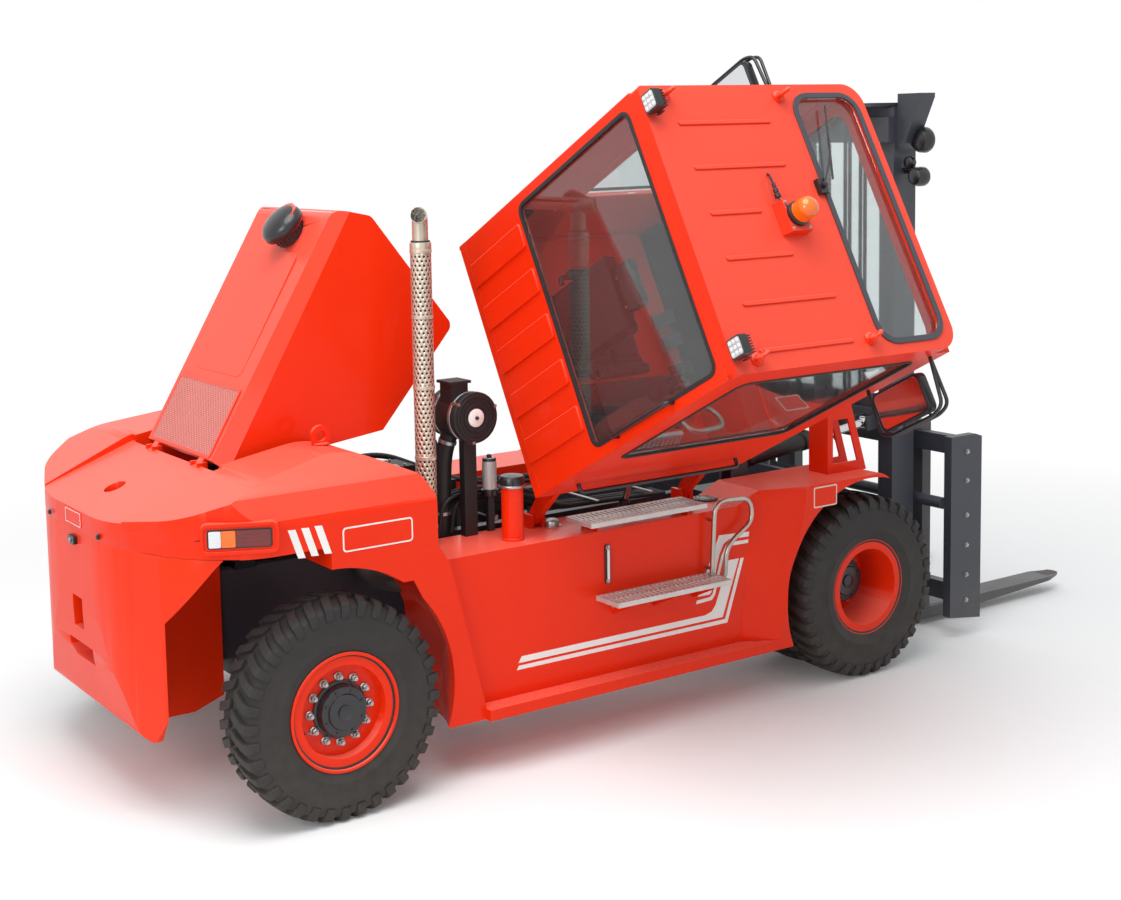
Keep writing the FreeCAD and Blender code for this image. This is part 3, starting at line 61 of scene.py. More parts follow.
# %% Datum, cab and cover
right_rim, left_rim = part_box("rear_right_rim"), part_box("rear_left_rim")
AXLE_X = (right_rim[0].x + right_rim[1].x) / 2
CENTRE_Y = (right_rim[0].y + left_rim[1].y) / 2
TRUCK = Matrix.Translation((AXLE_X, CENTRE_Y, 0))
SIDES = (("right", -1), ("left", 1))


def shift(x, y, z):
    """A move given in millimetres."""
    return Matrix.Translation((x / 1000, y / 1000, z / 1000))


joints = {joint["name"]: joint for joint in frame["record"]["behaviour"]["joints"]}


def swung(name, degrees):
    """The matrix that turns a thing about a joint's pin by an angle."""
    pin = Matrix.Translation(joints[name]["pos_m"])
    return pin @ Matrix.Rotation(math.radians(degrees), 4, Vector(joints[name]["axis"])) @ pin.inverted()


CAB = swung("cab_tilt", -joints["cab_tilt"]["range_deg"][0]) @ TRUCK
HOOD_LEAN = math.atan2(0.36, 1.47)
HOOD = (swung("hood_swing", -joints["hood_swing"]["range_deg"][0]) @ TRUCK
        @ Matrix.Translation((-0.29, 0, 1.69)) @ Matrix.Rotation(-HOOD_LEAN, 4, "Y"))
print("datum", round(AXLE_X, 3), round(CENTRE_Y, 3), "cab corner now at",
      (CAB @ Vector((1.324, -0.751, 1.55)))[:])

# %% [markdown]
# Most small parts are turned, sawn, bent or pressed. So the helpers are a fitter's: block and slab
# for sawn plate, turned for lathe work, tube for bent pipe and hose, bolt for a hexagon head with
# its washer. Each adds faces to one bmesh, and every face remembers which finish it takes. From
# here on all measures are millimetres, as on a workshop drawing; faces_of turns them into metres.

# %% Skinning rings into faces
AXES = {"x": (Vector((0, 1, 0)), Vector((0, 0, 1)), Vector((1, 0, 0))),
        "y": (Vector((0, 0, 1)), Vector((1, 0, 0)), Vector((0, 1, 0))),
        "z": (Vector((1, 0, 0)), Vector((0, 1, 0)), Vector((0, 0, 1)))}


def circle(count, r, start=0.0):
    """Points spaced evenly round a circle."""
    return [(r * math.cos(a), r * math.sin(a)) for a in (start + math.tau * k / count
                                                         for k in range(count))]


def faces_of(bm, rings, finish=0, ends=True, closed=False, unit=1000):
    """Skin a list of point rings, one after the other. A metre holds this many of their units."""
    made = [[bm.verts.new([c / unit for c in p]) for p in ring] for ring in rings]
    count = len(made[0])
    pairs = list(zip(made, made[1:])) + ([(made[-1], made[0])] if closed else [])
    for low, high in pairs:
        for k in range(count):
            bm.faces.new((low[k], low[(k + 1) % count], high[(k + 1) % count],
                          high[k])).material_index = finish
    if ends and not closed:
        bm.faces.new(made[0][::-1]).material_index = finish
        bm.faces.new(made[-1]).material_index = finish


# %% Plate, lathe and pipe
def block(bm, x0, y0, z0, x1, y1, z1, finish=0):
    faces_of(bm, [[(x0, y0, z), (x1, y0, z), (x1, y1, z), (x0, y1, z)] for z in (z0, z1)], finish)


def slab(bm, outline, axis, low, high, finish=0):
    """An outline drawn in the two other axes (in the order x y z) and pushed from low to high."""
    def at(p, t):
        return {"x": (t, p[0], p[1]), "y": (p[0], t, p[1]), "z": (p[0], p[1], t)}[axis]
    area = sum(a[0] * b[1] - b[0] * a[1] for a, b in zip(outline, outline[1:] + outline[:1]))
    if (area < 0) != (axis == "y"):
        outline = outline[::-1]
    faces_of(bm, [[at(p, t) for p in outline] for t in (min(low, high), max(low, high))], finish)


def turned(bm, profile, centre, axis="z", steps=32, finish=0, ends=True):
    """Lathe work: pairs of radius and height along an axis."""
    u, v, w = AXES[axis] if isinstance(axis, str) else axis
    centre = Vector([c / 1000 for c in centre])
    rings = [[centre + w * (h / 1000) + u * p + v * q for p, q in circle(steps, r / 1000)]
             for r, h in profile]
    faces_of(bm, rings, finish, ends, unit=1)


def across(direction):
    """Two directions square to a line, and the line itself."""
    w = Vector(direction).normalized()
    u = w.cross(Vector((0, 0, 1)) if abs(w.z) < 0.9 else Vector((1, 0, 0))).normalized()
    return u, w.cross(u), w


def bar(bm, a, b, r, steps=16, finish=0):
    a, b = Vector(a), Vector(b)
    turned(bm, [(r, 0), (r, (b - a).length)], a, across(b - a), steps, finish)


def rounded(points, r, arc=6):
    """A run of points with each corner replaced by a smooth curve."""
    points = [Vector(p) for p in points]
    out = [points[0]]
    for a, b, c in zip(points, points[1:], points[2:]):
        reach = min(r, (a - b).length * 0.48, (c - b).length * 0.48)
        start, end = b + (a - b).normalized() * reach, b + (c - b).normalized() * reach
        for k in range(arc + 1):
            t = k / arc
            out.append(start * (1 - t) ** 2 + b * (2 * t * (1 - t)) + end * t * t)
    return out + [points[-1]]


def tube(bm, points, r, bend=50, steps=12, finish=0, arc=6):
    """Bent pipe or hose of one radius."""
    run = rounded([[c / 1000 for c in p] for p in points], bend / 1000, arc)
    u = across(run[1] - run[0])[0]
    rings = []
    for k, p in enumerate(run):
        along = (run[min(k + 1, len(run) - 1)] - run[max(k - 1, 0)]).normalized()
        u = (u - along * u.dot(along)).normalized()
        v = along.cross(u)
        rings.append([p + u * x + v * y for x, y in circle(steps, r / 1000)])
    faces_of(bm, rings, finish, unit=1)


# %% Rings, bands, bolts, plates and seals
def hoop(bm, centre, axes, r, wire, steps, sides):
    """A wire bent into a closed ring that lies in the plane of the first two axes."""
    outs = [axes[0] * p + axes[1] * q for p, q in circle(steps, 1)]
    faces_of(bm, [[centre + out * (r + x) + axes[2] * y for x, y in circle(sides, wire)] for out in outs],
             closed=True)


def band(inner, outer, middle, half, lip=2):
    """The profile of a clamp band with chamfered edges, for turned."""
    return [(inner, middle - half), (outer, middle - half + lip), (outer, middle + half - lip),
            (inner, middle + half)]


def bolt(bm, at, axis, r=12, finish=0, sign=1):
    """A washer and a hexagon head standing on a face."""
    turned(bm, [(r * 1.55, 0), (r * 1.55, sign * r * 0.25)][::sign], at, axis, 16, finish)
    turned(bm, [(r * 1.1, sign * r * 0.2), (r * 1.1, sign * r), (r * 0.9, sign * r * 1.2)][::sign], at,
           axis, 6, finish)


def frame_outline(y0, z0, y1, z1, r, steps=5):
    """A rectangle with round corners."""
    out = []
    for cy, cz, start in ((y1 - r, z1 - r, 0), (y0 + r, z1 - r, 90), (y0 + r, z0 + r, 180),
                          (y1 - r, z0 + r, 270)):
        out += [(cy + r * math.cos(math.radians(start + 90 * k / steps)),
                 cz + r * math.sin(math.radians(start + 90 * k / steps))) for k in range(steps + 1)]
    return out


def plate(bm, y0, z0, y1, z1, r, axis, low, high, finish=0, steps=5):
    """A sawn plate with round corners."""
    slab(bm, frame_outline(y0, z0, y1, z1, r, steps), axis, low, high, finish)


def seal(bm, axis, at, y0, z0, y1, z1, wide=20, deep=8, r=50, finish=0):
    """A rubber or metal rim with round corners, lying in a plane."""
    def place(p, t):
        return {"x": (t, p[0], p[1]), "y": (p[0], t, p[1]), "z": (p[0], p[1], t)}[axis]
    outer = frame_outline(y0 - wide, z0 - wide, y1 + wide, z1 + wide, r + wide)
    inner = frame_outline(y0, z0, y1, z1, r)
    ring = [[place(o, at), place(o, at + deep), place(i, at + deep), place(i, at)]
            for o, i in zip(outer, inner)]
    faces_of(bm, ring, finish, closed=True)


# %% [markdown]
# A new mesh becomes a piece when it has a place, a body to ride on and its finishes. The bevel
# softens the cut edges, because a mathematically sharp edge catches no light and looks like paper.

# %% Making a piece
SHARP = math.radians(34)


def placed(name, data):
    """A new object in the scene."""
    made = bpy.data.objects.new(name, data)
    bpy.context.collection.objects.link(made)
    return made


def piece(name, bm, body, finishes, bevel=1.5, place=TRUCK, segments=2):
    bmesh.ops.recalc_face_normals(bm, faces=bm.faces)
    bmesh.ops.transform(bm, matrix=place, verts=bm.verts)
    if place.determinant() < 0:
        bmesh.ops.reverse_faces(bm, faces=bm.faces)
    mesh = bpy.data.meshes.new(name)
    bm.to_mesh(mesh)
    bm.free()
    mesh.shade_smooth()
    mesh.set_sharp_from_angle(angle=SHARP)
    made = placed(name, mesh)
    for finish in finishes:
        mesh.materials.append(finish)
    if bevel:
        soft = made.modifiers.new("edge", "BEVEL")
        soft.width, soft.segments, soft.limit_method = bevel / 1000, segments, "ANGLE"
        soft.angle_limit, soft.harden_normals = SHARP, True
    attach(made, body)
    print(name, "on", body, len(mesh.polygons), "faces")
    return made


# %% [markdown]
# Finishes. Paint, rubber and castings are never one flat colour: a large noise shifts the tone a
# little, a fine one breaks up the gloss, and a finer one still gives the orange peel of sprayed
# paint or the grain of cast iron. One function builds them all, so the scale of each stays honest.

# %% Colours and shader nodes
def linear(red, green, blue):
    """A colour read from a paint card, 0 to 255, as the linear numbers that a shader wants."""
    def one(c):
        c /= 255
        return c / 12.92 if c <= 0.04045 else ((c + 0.055) / 1.055) ** 2.4
    return (one(red), one(green), one(blue), 1)


# The second colour is a painted highlight: the pale salmon of the sky's reflection on upward faces.
DUST, PAINTED_SKY_SHEEN = linear(150, 138, 124), linear(252, 148, 130)


def node_of(tree, kind, **values):
    made = tree.nodes.new(kind)
    for name, value in values.items():
        if name.startswith("in_"):
            made.inputs[name[3:].replace("_", " ")].default_value = value
        else:
            setattr(made, name, value)
    return made


def wire(tree, *links):
    """Join sockets: each link is a node, its output, the next node and its input."""
    for start, out, end, into in links:
        tree.links.new(start.outputs[out], end.inputs[into])


# %% Paint, rubber and metal from one recipe
def finish_of(name, light, dark, rough=0.4, rough_span=0.1, patch=3.0, grain=220.0, bump=0.05, depth=0.001,
              dust=0.0, dust_top=0.6, painted_top_sheen=0.0, metallic=0.0, coat=0.0, **sockets):
    made = bpy.data.materials.new(name)
    made.use_nodes = True
    tree = made.node_tree
    shader = tree.nodes["Principled BSDF"]
    where = node_of(tree, "ShaderNodeTexCoord")
    large = node_of(tree, "ShaderNodeTexNoise", in_Scale=patch, in_Detail=4.0, in_Roughness=0.6)
    tone = node_of(tree, "ShaderNodeMix", data_type="RGBA", in_A=linear(*light), in_B=linear(*dark))
    gloss = node_of(tree, "ShaderNodeMapRange", in_To_Min=rough - rough_span, in_To_Max=rough + rough_span)
    fine = node_of(tree, "ShaderNodeTexNoise", in_Scale=grain, in_Detail=2.0)
    height = node_of(tree, "ShaderNodeBump", in_Strength=bump, in_Distance=depth)
    wire(tree, (where, "Object", large, "Vector"), (where, "Object", fine, "Vector"),
         (large, "Fac", tone, "Factor"), (large, "Fac", gloss, "Value"), (fine, "Fac", height, "Height"),
         (height, "Normal", shader, "Normal"), (gloss, "Result", shader, "Roughness"))
    last = tone
    if dust:
        split = node_of(tree, "ShaderNodeSeparateXYZ")
        low = node_of(tree, "ShaderNodeMapRange", in_From_Min=dust_top, in_From_Max=0.0, in_To_Max=dust)
        spots = node_of(tree, "ShaderNodeTexNoise", in_Scale=14.0, in_Detail=5.0)
        much = node_of(tree, "ShaderNodeMath", operation="MULTIPLY")
        dusty = node_of(tree, "ShaderNodeMix", data_type="RGBA", in_B=DUST)
        wire(tree, (where, "Object", split, "Vector"), (split, "Z", low, "Value"),
             (where, "Object", spots, "Vector"), (low, "Result", much, 0), (spots, "Fac", much, 1),
             (much, "Value", dusty, "Factor"), (last, "Result", dusty, "A"))
        last = dusty
    # Painted highlight: faces whose normal points up are mixed toward pale salmon, standing in for the sky's
    # reflection on the tops.
    if painted_top_sheen:
        facing = node_of(tree, "ShaderNodeNewGeometry")
        upward = node_of(tree, "ShaderNodeSeparateXYZ")
        much = node_of(tree, "ShaderNodeMapRange", in_From_Min=0.3, in_From_Max=0.62, in_To_Max=painted_top_sheen)
        sheen_mixed = node_of(tree, "ShaderNodeMix", data_type="RGBA", in_B=PAINTED_SKY_SHEEN)
        wire(tree, (facing, "Normal", upward, "Vector"), (upward, "Z", much, "Value"),
             (much, "Result", sheen_mixed, "Factor"), (last, "Result", sheen_mixed, "A"))
        last = sheen_mixed
    wire(tree, (last, "Result", shader, "Base Color"))
    shader.inputs["Metallic"].default_value = metallic
    shader.inputs["Coat Weight"].default_value = coat
    shader.inputs["Coat Roughness"].default_value = 0.08
    for socket, value in sockets.items():
        shader.inputs[socket.replace("_", " ")].default_value = value
    return made


# %% The paints and stocks of this truck
# The red paints carry a painted highlight: upward faces are mixed about a third of the way to pale salmon.
vermilion = finish_of("vermilion_paint", (236, 50, 8), (226, 40, 6), 0.34, 0.05, 1.2, 900, 0.03, 0.0004,
                      dust=0.015, dust_top=0.9, painted_top_sheen=0.32, coat=0.1, Specular_IOR_Level=0.15)
mast_grey = finish_of("mast_paint", (62, 64, 72), (54, 56, 64), 0.42, 0.08, 2.0, 700, 0.04, 0.0004,
                      dust=0.2, dust_top=0.5)
fork_grey = finish_of("fork_paint", (84, 84, 87), (70, 70, 74), 0.45, 0.1, 3.0, 260, 0.15, 0.0008,
                      dust=0.25, dust_top=0.3)
# Painted highlight on upward faces, as on the vermilion.
cast_red = finish_of("cast_weight_paint", (238, 56, 11), (228, 45, 8), 0.38, 0.05, 1.6, 70, 0.12, 0.0012,
                     dust=0.03, dust_top=0.9, painted_top_sheen=0.32, coat=0.1, Specular_IOR_Level=0.15)
iron_black = finish_of("engine_paint", (34, 36, 38), (22, 24, 26), 0.5, 0.12, 6.0, 140, 0.3, 0.001)
cast_iron = finish_of("cast_iron", (92, 90, 88), (70, 68, 66), 0.6, 0.1, 9.0, 160, 0.35, 0.001,
                      metallic=0.4)
rubber = finish_of("tyre_rubber", (34, 31, 31), (22, 21, 21), 0.72, 0.08, 5.0, 320, 0.25, 0.0008, dust=0.16,
                   dust_top=1.2)
hose_rubber = finish_of("hose_rubber", (30, 30, 32), (20, 20, 22), 0.55, 0.08, 9.0, 500, 0.1, 0.0004)
moulded = finish_of("moulded_plastic", (34, 34, 36), (26, 26, 28), 0.5, 0.08, 4.0, 600, 0.2, 0.0005)
hub_black = finish_of("hub_enamel", (30, 31, 36), (18, 19, 22), 0.32, 0.08, 6.0, 300, 0.06, 0.0005,
                      coat=0.2)
stainless = finish_of("stainless", (196, 188, 180), (150, 138, 128), 0.3, 0.1, 5.0, 90, 0.08, 0.0006,
                      metallic=1.0)
zinc = finish_of("zinc_plate", (190, 190, 188), (150, 150, 150), 0.35, 0.1, 30.0, 300, 0.06, 0.0004,
                 metallic=0.9)
aluminium = finish_of("step_aluminium", (218, 214, 210), (186, 182, 178), 0.44, 0.1, 8.0, 400, 0.2, 0.0006,
                      metallic=0.45)
shield_sheet = finish_of("shield_sheet", (212, 202, 186), (182, 168, 150), 0.34, 0.08, 5.0, 90, 0.08,
                         0.0006, metallic=0.6)
shield_dark = finish_of("hot_pipe", (58, 48, 42), (36, 30, 27), 0.6, 0.1, 6.0, 120, 0.3, 0.001,
                        metallic=0.3)
silver_paint = finish_of("silver_paint", (196, 196, 194), (176, 176, 176), 0.4, 0.06, 5.0, 500, 0.05,
                         0.0004, metallic=0.2)
white_film = finish_of("white_film", (240, 238, 234), (228, 226, 222), 0.42, 0.05, 6.0, 400, 0.02, 0.0003)
pale_blank = finish_of("blank_label", (226, 214, 196), (212, 200, 184), 0.45, 0.05, 6.0, 400, 0.02, 0.0003)
chrome = finish_of("chromed_rod", (214, 214, 214), (200, 200, 202), 0.12, 0.03, 12.0, 300, 0.02, 0.0002,
                   metallic=1.0)
seat_vinyl = finish_of("seat_vinyl", (44, 43, 44), (30, 30, 31), 0.58, 0.08, 6.0, 420, 0.5, 0.0008)
amber = finish_of("amber_lens", (246, 118, 14), (232, 96, 8), 0.16, 0.05, 12.0, 200, 0.05, 0.0005, coat=0.6)
red_lens = finish_of("red_lens", (120, 12, 10), (92, 8, 8), 0.16, 0.05, 12.0, 200, 0.05, 0.0005, coat=0.6)
clear_lens = finish_of("clear_lens", (226, 228, 230), (206, 208, 212), 0.14, 0.05, 12.0, 240, 0.1, 0.0006,
                       coat=0.6)
mirror_glass = finish_of("mirror_glass", (226, 228, 230), (214, 216, 220), 0.05, 0.02, 3.0, 60, 0.0, 0.0001,
                         metallic=1.0)


# %% Window glass
def glass_finish(name, tint, rough):
    made = finish_of(name, tint, tint, rough, 0.01, 2.0, 20.0, 0.01, 0.0003)
    shader = made.node_tree.nodes["Principled BSDF"]
    shader.inputs["Transmission Weight"].default_value = 0.98
    shader.inputs["IOR"].default_value = 1.45
    return made


cab_glass = glass_finish("cab_glass", (232, 238, 238), 0.02)
print("finishes", len(bpy.data.materials))

# %% [markdown]
# The camera stands at the right rear corner, a little above a tall man's head, with a long lens so
# that the truck doesn't bulge. The world gives soft light from everywhere and two big lamps give it
# a direction. The white behind the truck comes from what camera and mirror rays see, so it adds no light.

# %% Camera
def looking(yaw, pitch, roll):
    d = Vector((math.cos(yaw) * math.cos(pitch), math.sin(yaw) * math.cos(pitch), -math.sin(pitch)))
    right = d.cross(Vector((0, 0, 1))).normalized()
    up = right.cross(d)
    return right * math.cos(roll) + up * math.sin(roll), up * math.cos(roll) - right * math.sin(roll), d


right, up, ahead = looking(1.010808, 0.111759, -0.0243124)
lens = bpy.data.cameras.new("camera")
camera = placed("camera", lens)
camera.matrix_world = TRUCK @ Matrix.Translation((-3.7942, -8.2896, 3.3898)) @ Matrix(
    (right, up, -ahead)).transposed().to_4x4()
IMAGE_WIDTH, IMAGE_HEIGHT, FOCAL_LENGTH = 1121, 900, 1669.024
lens.sensor_width = 36
lens.lens = FOCAL_LENGTH * lens.sensor_width / IMAGE_WIDTH
lens.shift_x, lens.shift_y = (IMAGE_WIDTH / 2 - 440) / IMAGE_WIDTH, (320 - IMAGE_HEIGHT / 2) / IMAGE_WIDTH
lens.clip_end = 200
bpy.context.scene.camera = camera
bpy.context.scene.view_settings.view_transform = "Standard"
print("lens", round(lens.lens, 2), "shift", round(lens.shift_x, 4), round(lens.shift_y, 4))

# %% Light
def seen_directly(tree, rays):
    """One for the rays that show the background itself: to the camera, in metal and through glass."""
    seen, out = rays, "Is Camera Ray"
    for kind in ("Is Glossy Ray", "Is Transmission Ray"):
        either = node_of(tree, "ShaderNodeMath", operation="MAXIMUM")
        wire(tree, (seen, out, either, 0), (rays, kind, either, 1))
        seen, out = either, 0
    return seen


# %% The hall around the truck
world = bpy.data.worlds.new("hall")
bpy.context.scene.world = world
world.use_nodes = True
sky = world.node_tree
soft = sky.nodes["Background"]
soft.inputs["Color"].default_value = (0.97, 0.985, 1.0, 1)
facing = node_of(sky, "ShaderNodeTexCoord")
height = node_of(sky, "ShaderNodeSeparateXYZ")
strength = node_of(sky, "ShaderNodeMapRange", in_From_Min=0.05, in_From_Max=0.9, in_To_Min=0.24,
                   in_To_Max=0.98)
wire(sky, (facing, "Generated", height, "Vector"), (height, "Z", strength, "Value"),
     (strength, "Result", soft, "Strength"))
white = node_of(sky, "ShaderNodeBackground", in_Strength=1.0, in_Color=(1, 1, 1, 1))
rays = node_of(sky, "ShaderNodeLightPath")
choose = node_of(sky, "ShaderNodeMixShader")
wire(sky, (seen_directly(sky, rays), 0, choose, 0), (soft, 0, choose, 1), (white, 0, choose, 2),
     (choose, 0, sky.nodes["World Output"], "Surface"))


# %% Two lamps
def lamp(name, at, aim, size, watts):
    data = bpy.data.lights.new(name, "AREA")
    data.shape, data.size, data.energy = "DISK", size, watts
    made = placed(name, data)
    made.location = TRUCK @ Vector(at)
    made.rotation_euler = (Vector(aim) - Vector(at)).to_track_quat("-Z", "Y").to_euler()


lamp("roof_light", (-1.0, -3.0, 9.0), (1.2, 0, 0.8), 7.0, 560)
lamp("rear_light", (-8.0, -5.5, 5.0), (0.5, 0, 1.2), 5.0, 300)

# %% Floor
FADE_FROM, FADE_TO, HALL_R = 3.6, 8.0, 60
ground = bmesh.new()
bmesh.ops.create_circle(ground, cap_ends=True, segments=96, radius=HALL_R)
floor_mesh = bpy.data.meshes.new("floor")
ground.to_mesh(floor_mesh)
ground.free()
floor = placed("floor", floor_mesh)
floor_finish = finish_of("hall_floor", (245, 245, 245), (241, 241, 241), 0.85, 0.05, 0.8, 40, 0.02, 0.0005)
tree = floor_finish.node_tree
glow = node_of(tree, "ShaderNodeEmission", in_Strength=1.0)
rays = node_of(tree, "ShaderNodeLightPath")
place = node_of(tree, "ShaderNodeTexCoord")
far = node_of(tree, "ShaderNodeVectorMath", operation="LENGTH")
fade = node_of(tree, "ShaderNodeMapRange", in_From_Min=FADE_FROM, in_From_Max=FADE_TO, in_To_Min=0.05,
               in_To_Max=1.0)
share = node_of(tree, "ShaderNodeMath", operation="MULTIPLY")
blend_floor = node_of(tree, "ShaderNodeMixShader")
wire(tree, (place, "Object", far, 0), (far, "Value", fade, "Value"), (fade, "Result", share, 0))
wire(tree, (seen_directly(tree, rays), 0, share, 1), (share, 0, blend_floor, 0),
     (tree.nodes["Principled BSDF"], 0, blend_floor, 1), (glow, 0, blend_floor, 2),
     (blend_floor, 0, tree.nodes["Material Output"], "Surface"))
floor_mesh.materials.append(floor_finish)

# %% [markdown]
# The CAD nodes that have the right shape stay. Their meshes are welded and their edges rounded by
# modifiers, which leaves the mesh itself alone, and each gets the paint of the real piece.

# %% Finishes on the CAD nodes
paint_of_slot = {"red_paint": vermilion, "grey_paint": mast_grey, "cast_weight": cast_red,
                 "engine_iron": iron_black, "tyre": rubber, "stainless": stainless, "glass": cab_glass,
                 "black_plastic": moulded, "seat_cloth": seat_vinyl}
paint_of_node = {"air_cleaner": moulded, "exhaust_stack": shield_dark, "right_fork": fork_grey,
                 "left_fork": fork_grey, "carriage": mast_grey, "steer_axle": iron_black,
                 "drive_axle": iron_black, "right_knuckle": iron_black, "left_knuckle": iron_black,
                 "right_tilt_rod": chrome, "left_tilt_rod": chrome, "ram_rod": chrome,
                 "right_tilt_barrel": iron_black, "left_tilt_barrel": iron_black, "ram_barrel": iron_black}
soft_edge = {"counterweight": 0.012, "rear_cover": 0.008, "hood": 0.005, "front_fenders": 0.006,
             "side_tanks": 0.006, "cab_roof": 0.008, "cab_rear_wall": 0.003, "right_fork": 0.004,
             "left_fork": 0.004, "cab_glass": 0, "door_glass": 0}
for name, node in frame["nodes"].items():
    for k, held in enumerate(node.material_slots):
        was = held.material.name.split(".")[0] if held.material else ""
        node.material_slots[k].material = paint_of_node.get(name) or paint_of_slot.get(was, vermilion)
    width = soft_edge.get(name, 0.0025)
    weld = node.modifiers.new("weld", "WELD")
    weld.merge_threshold = 0.00002
    if width:
        soft = node.modifiers.new("edge", "BEVEL")
        soft.width, soft.segments, soft.limit_method = width, 2, "ANGLE"
        soft.angle_limit, soft.harden_normals = math.radians(32), True
    print(name, [held.material.name for held in node.material_slots])

# %% [markdown]
# The tyres. An industrial drive tyre has deep slanted lugs that run from the middle of the tread
# out over the shoulder, one side set half a step after the other. A bump map would vanish at the
# edge of the wheel, just where it shows most, so every lug is a real block on a turned carcass.

# %% Tyres
TYRE_R, LUGS = 562, 36
CARCASS = [(262, 128), (300, 138), (318, 146.5), (345, 150.5), (350, 153.5), (358, 153.5),
           (363, 150.5), (420, 151.5), (470, 150), (500, 146.5), (522, 139), (534, 120),
           (541, 60)]
LUG_RUN = [(12, 562, 534, 0.0), (60, 562, 532, 2.4), (112, 558.5, 528, 4.4),
           (140, 550, 515, 5.2), (152.5, 528, 498, 5.5), (153.8, 496, 478, 5.6)]
LUG_ARC = 5.6


def tyre(bm, centre_y):
    profile = [(r, -w) for r, w in CARCASS] + [(r, w) for r, w in reversed(CARCASS)]
    turned(bm, profile + [profile[0]], (0, centre_y, 0), "y", 96, ends=False)
    for side in (-1, 1):
        for k in range(LUGS):
            start = 360 / LUGS * (k + (0.5 if side > 0 else 0))
            rings = []
            for w, top, foot, turn in LUG_RUN:
                ring = []
                for r, t in ((foot, 0), (top, 0.35), (top, LUG_ARC - 0.35), (foot, LUG_ARC)):
                    a = math.radians(start + turn + t)
                    ring.append((r * math.cos(a), centre_y + side * w, r * math.sin(a)))
                rings.append(ring)
            faces_of(bm, rings)


def wheel_tyres(name, node, body, centre_x, centres):
    bm = bmesh.new()
    for y in centres:
        one = bmesh.new()
        tyre(one, y)
        part = bpy.data.meshes.new("part")
        one.to_mesh(part)
        one.free()
        bm.from_mesh(part)
        bpy.data.meshes.remove(part)
    made = piece(name, bm, body, [rubber], 3, TRUCK @ shift(centre_x, 0, TYRE_R), 1)
    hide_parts(node)


WHEELBASE = ((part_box("front_right_rim")[0].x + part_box("front_right_rim")[1].x) / 2 - AXLE_X) * 1000
for side, sign in SIDES:
    wheel_tyres("rear_%s_tyre_tread" % side, "rear_%s_tyre" % side, "rear_%s_wheel" % side, 0,
                [sign * 1130])
    wheel_tyres("front_%s_tyre_tread" % side, "front_%s_tyres" % side, "front_%s_wheel" % side, WHEELBASE,
                [sign * 1077, sign * 727])
print("wheelbase", round(WHEELBASE, 3))

# %% [markdown]
# Rims. The steered rim turns its flat disc outwards, with a ring of nuts on studs. The driven rim
# is a deep dish, so its nuts sit far inside around the hub of the planetary gear. Nuts are plated,
# hubs are black, and the split lock ring that holds the tyre on shows as a fine step.

# %% Nuts, hubs, lock rings and valves
def wheel_trim(name, body, x, face, sign, hub_r, hub_end, nut_circle, lock):
    bm = bmesh.new()
    turned(bm, [(148, face), (148, face + sign * 10), (134.5, face + sign * 16),
                (133.5, hub_end - sign * 14), (125, hub_end + sign), (93, hub_end + sign * 2),
                (88, hub_end + sign * 12), (50, hub_end + sign * 13)][::sign], (0, 0, 0), "y", 48)
    turned(bm, [(hub_r * 0.42, hub_end), (hub_r * 0.42, hub_end + sign * 20),
                (hub_r * 0.3, hub_end + sign * 26)][::sign], (0, 0, 0), "y", 24)
    for along, up in circle(8, 109, math.pi / 8):
        bolt(bm, (along, hub_end + sign, up), "y", 6.5, 0, sign)
    for along, up in circle(12, nut_circle):
        at = Vector((along, face, up))
        turned(bm, [(24, 0), (24, sign * 6), (19.5, sign * 10)][::sign], at, "y", 20, 1)
        turned(bm, [(18.5, sign * 6), (18.5, sign * 24), (15, sign * 28)][::sign], at, "y", 6, 1)
        bar(bm, at, at + Vector((0, sign * 40, 0)), 9.5, 12, 1)
    ring = [(299.5, lock), (303.5, lock + sign * 4), (303.5, lock + sign * 12), (290, lock + sign * 14),
            (286, lock + sign * 4)]
    turned(bm, ring + ring[:1], (0, 0, 0), "y", 96, 2, ends=False)
    a = math.radians(200)
    valve = Vector((222 * math.cos(a), face + sign * 2, 222 * math.sin(a)))
    tube(bm, [valve, valve + Vector((0, sign * 30, 0)), valve + Vector((18, sign * 55, 6))], 6, 20, 10, 1)
    piece(name, bm, body, [hub_black, zinc, vermilion], 1.2, TRUCK @ shift(x, 0, TYRE_R))


for side, sign in SIDES:
    wheel_trim("rear_%s_hub" % side, "rear_%s_wheel" % side, 0, sign * 1205, sign, 92, sign * 1262, 167.5,
               sign * 1268)
    wheel_trim("front_%s_hub" % side, "front_%s_wheel" % side, WHEELBASE, sign * 924, sign, 100,
               sign * 1034, 175.5, sign * 1200)

# %% [markdown]
# The rear. The cast weight and the sheet cover meet in one long seam, held by bolts with washers. A
# black catch sits on the seam and a bare plate above it. The tail lamps lie in a dark recess in a
# red frame, clear, amber and red side by side, and the white slanted bars behind them are cut from
# film, so they are given a thickness of about one millimetre.

# %% Seam bolts, catch and plate
cover_low, cover_high = ((corner - Vector((AXLE_X, CENTRE_Y, 0))) * 1000 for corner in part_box("rear_cover"))
weight_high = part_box("counterweight")[1].z * 1000
REAR_X, SIDE_Y = cover_low.x, cover_high.y
SEAM_Z = 1372
print("rear face", round(REAR_X, 3), "cover side", round(SIDE_Y, 3), "weight top", round(weight_high, 3))

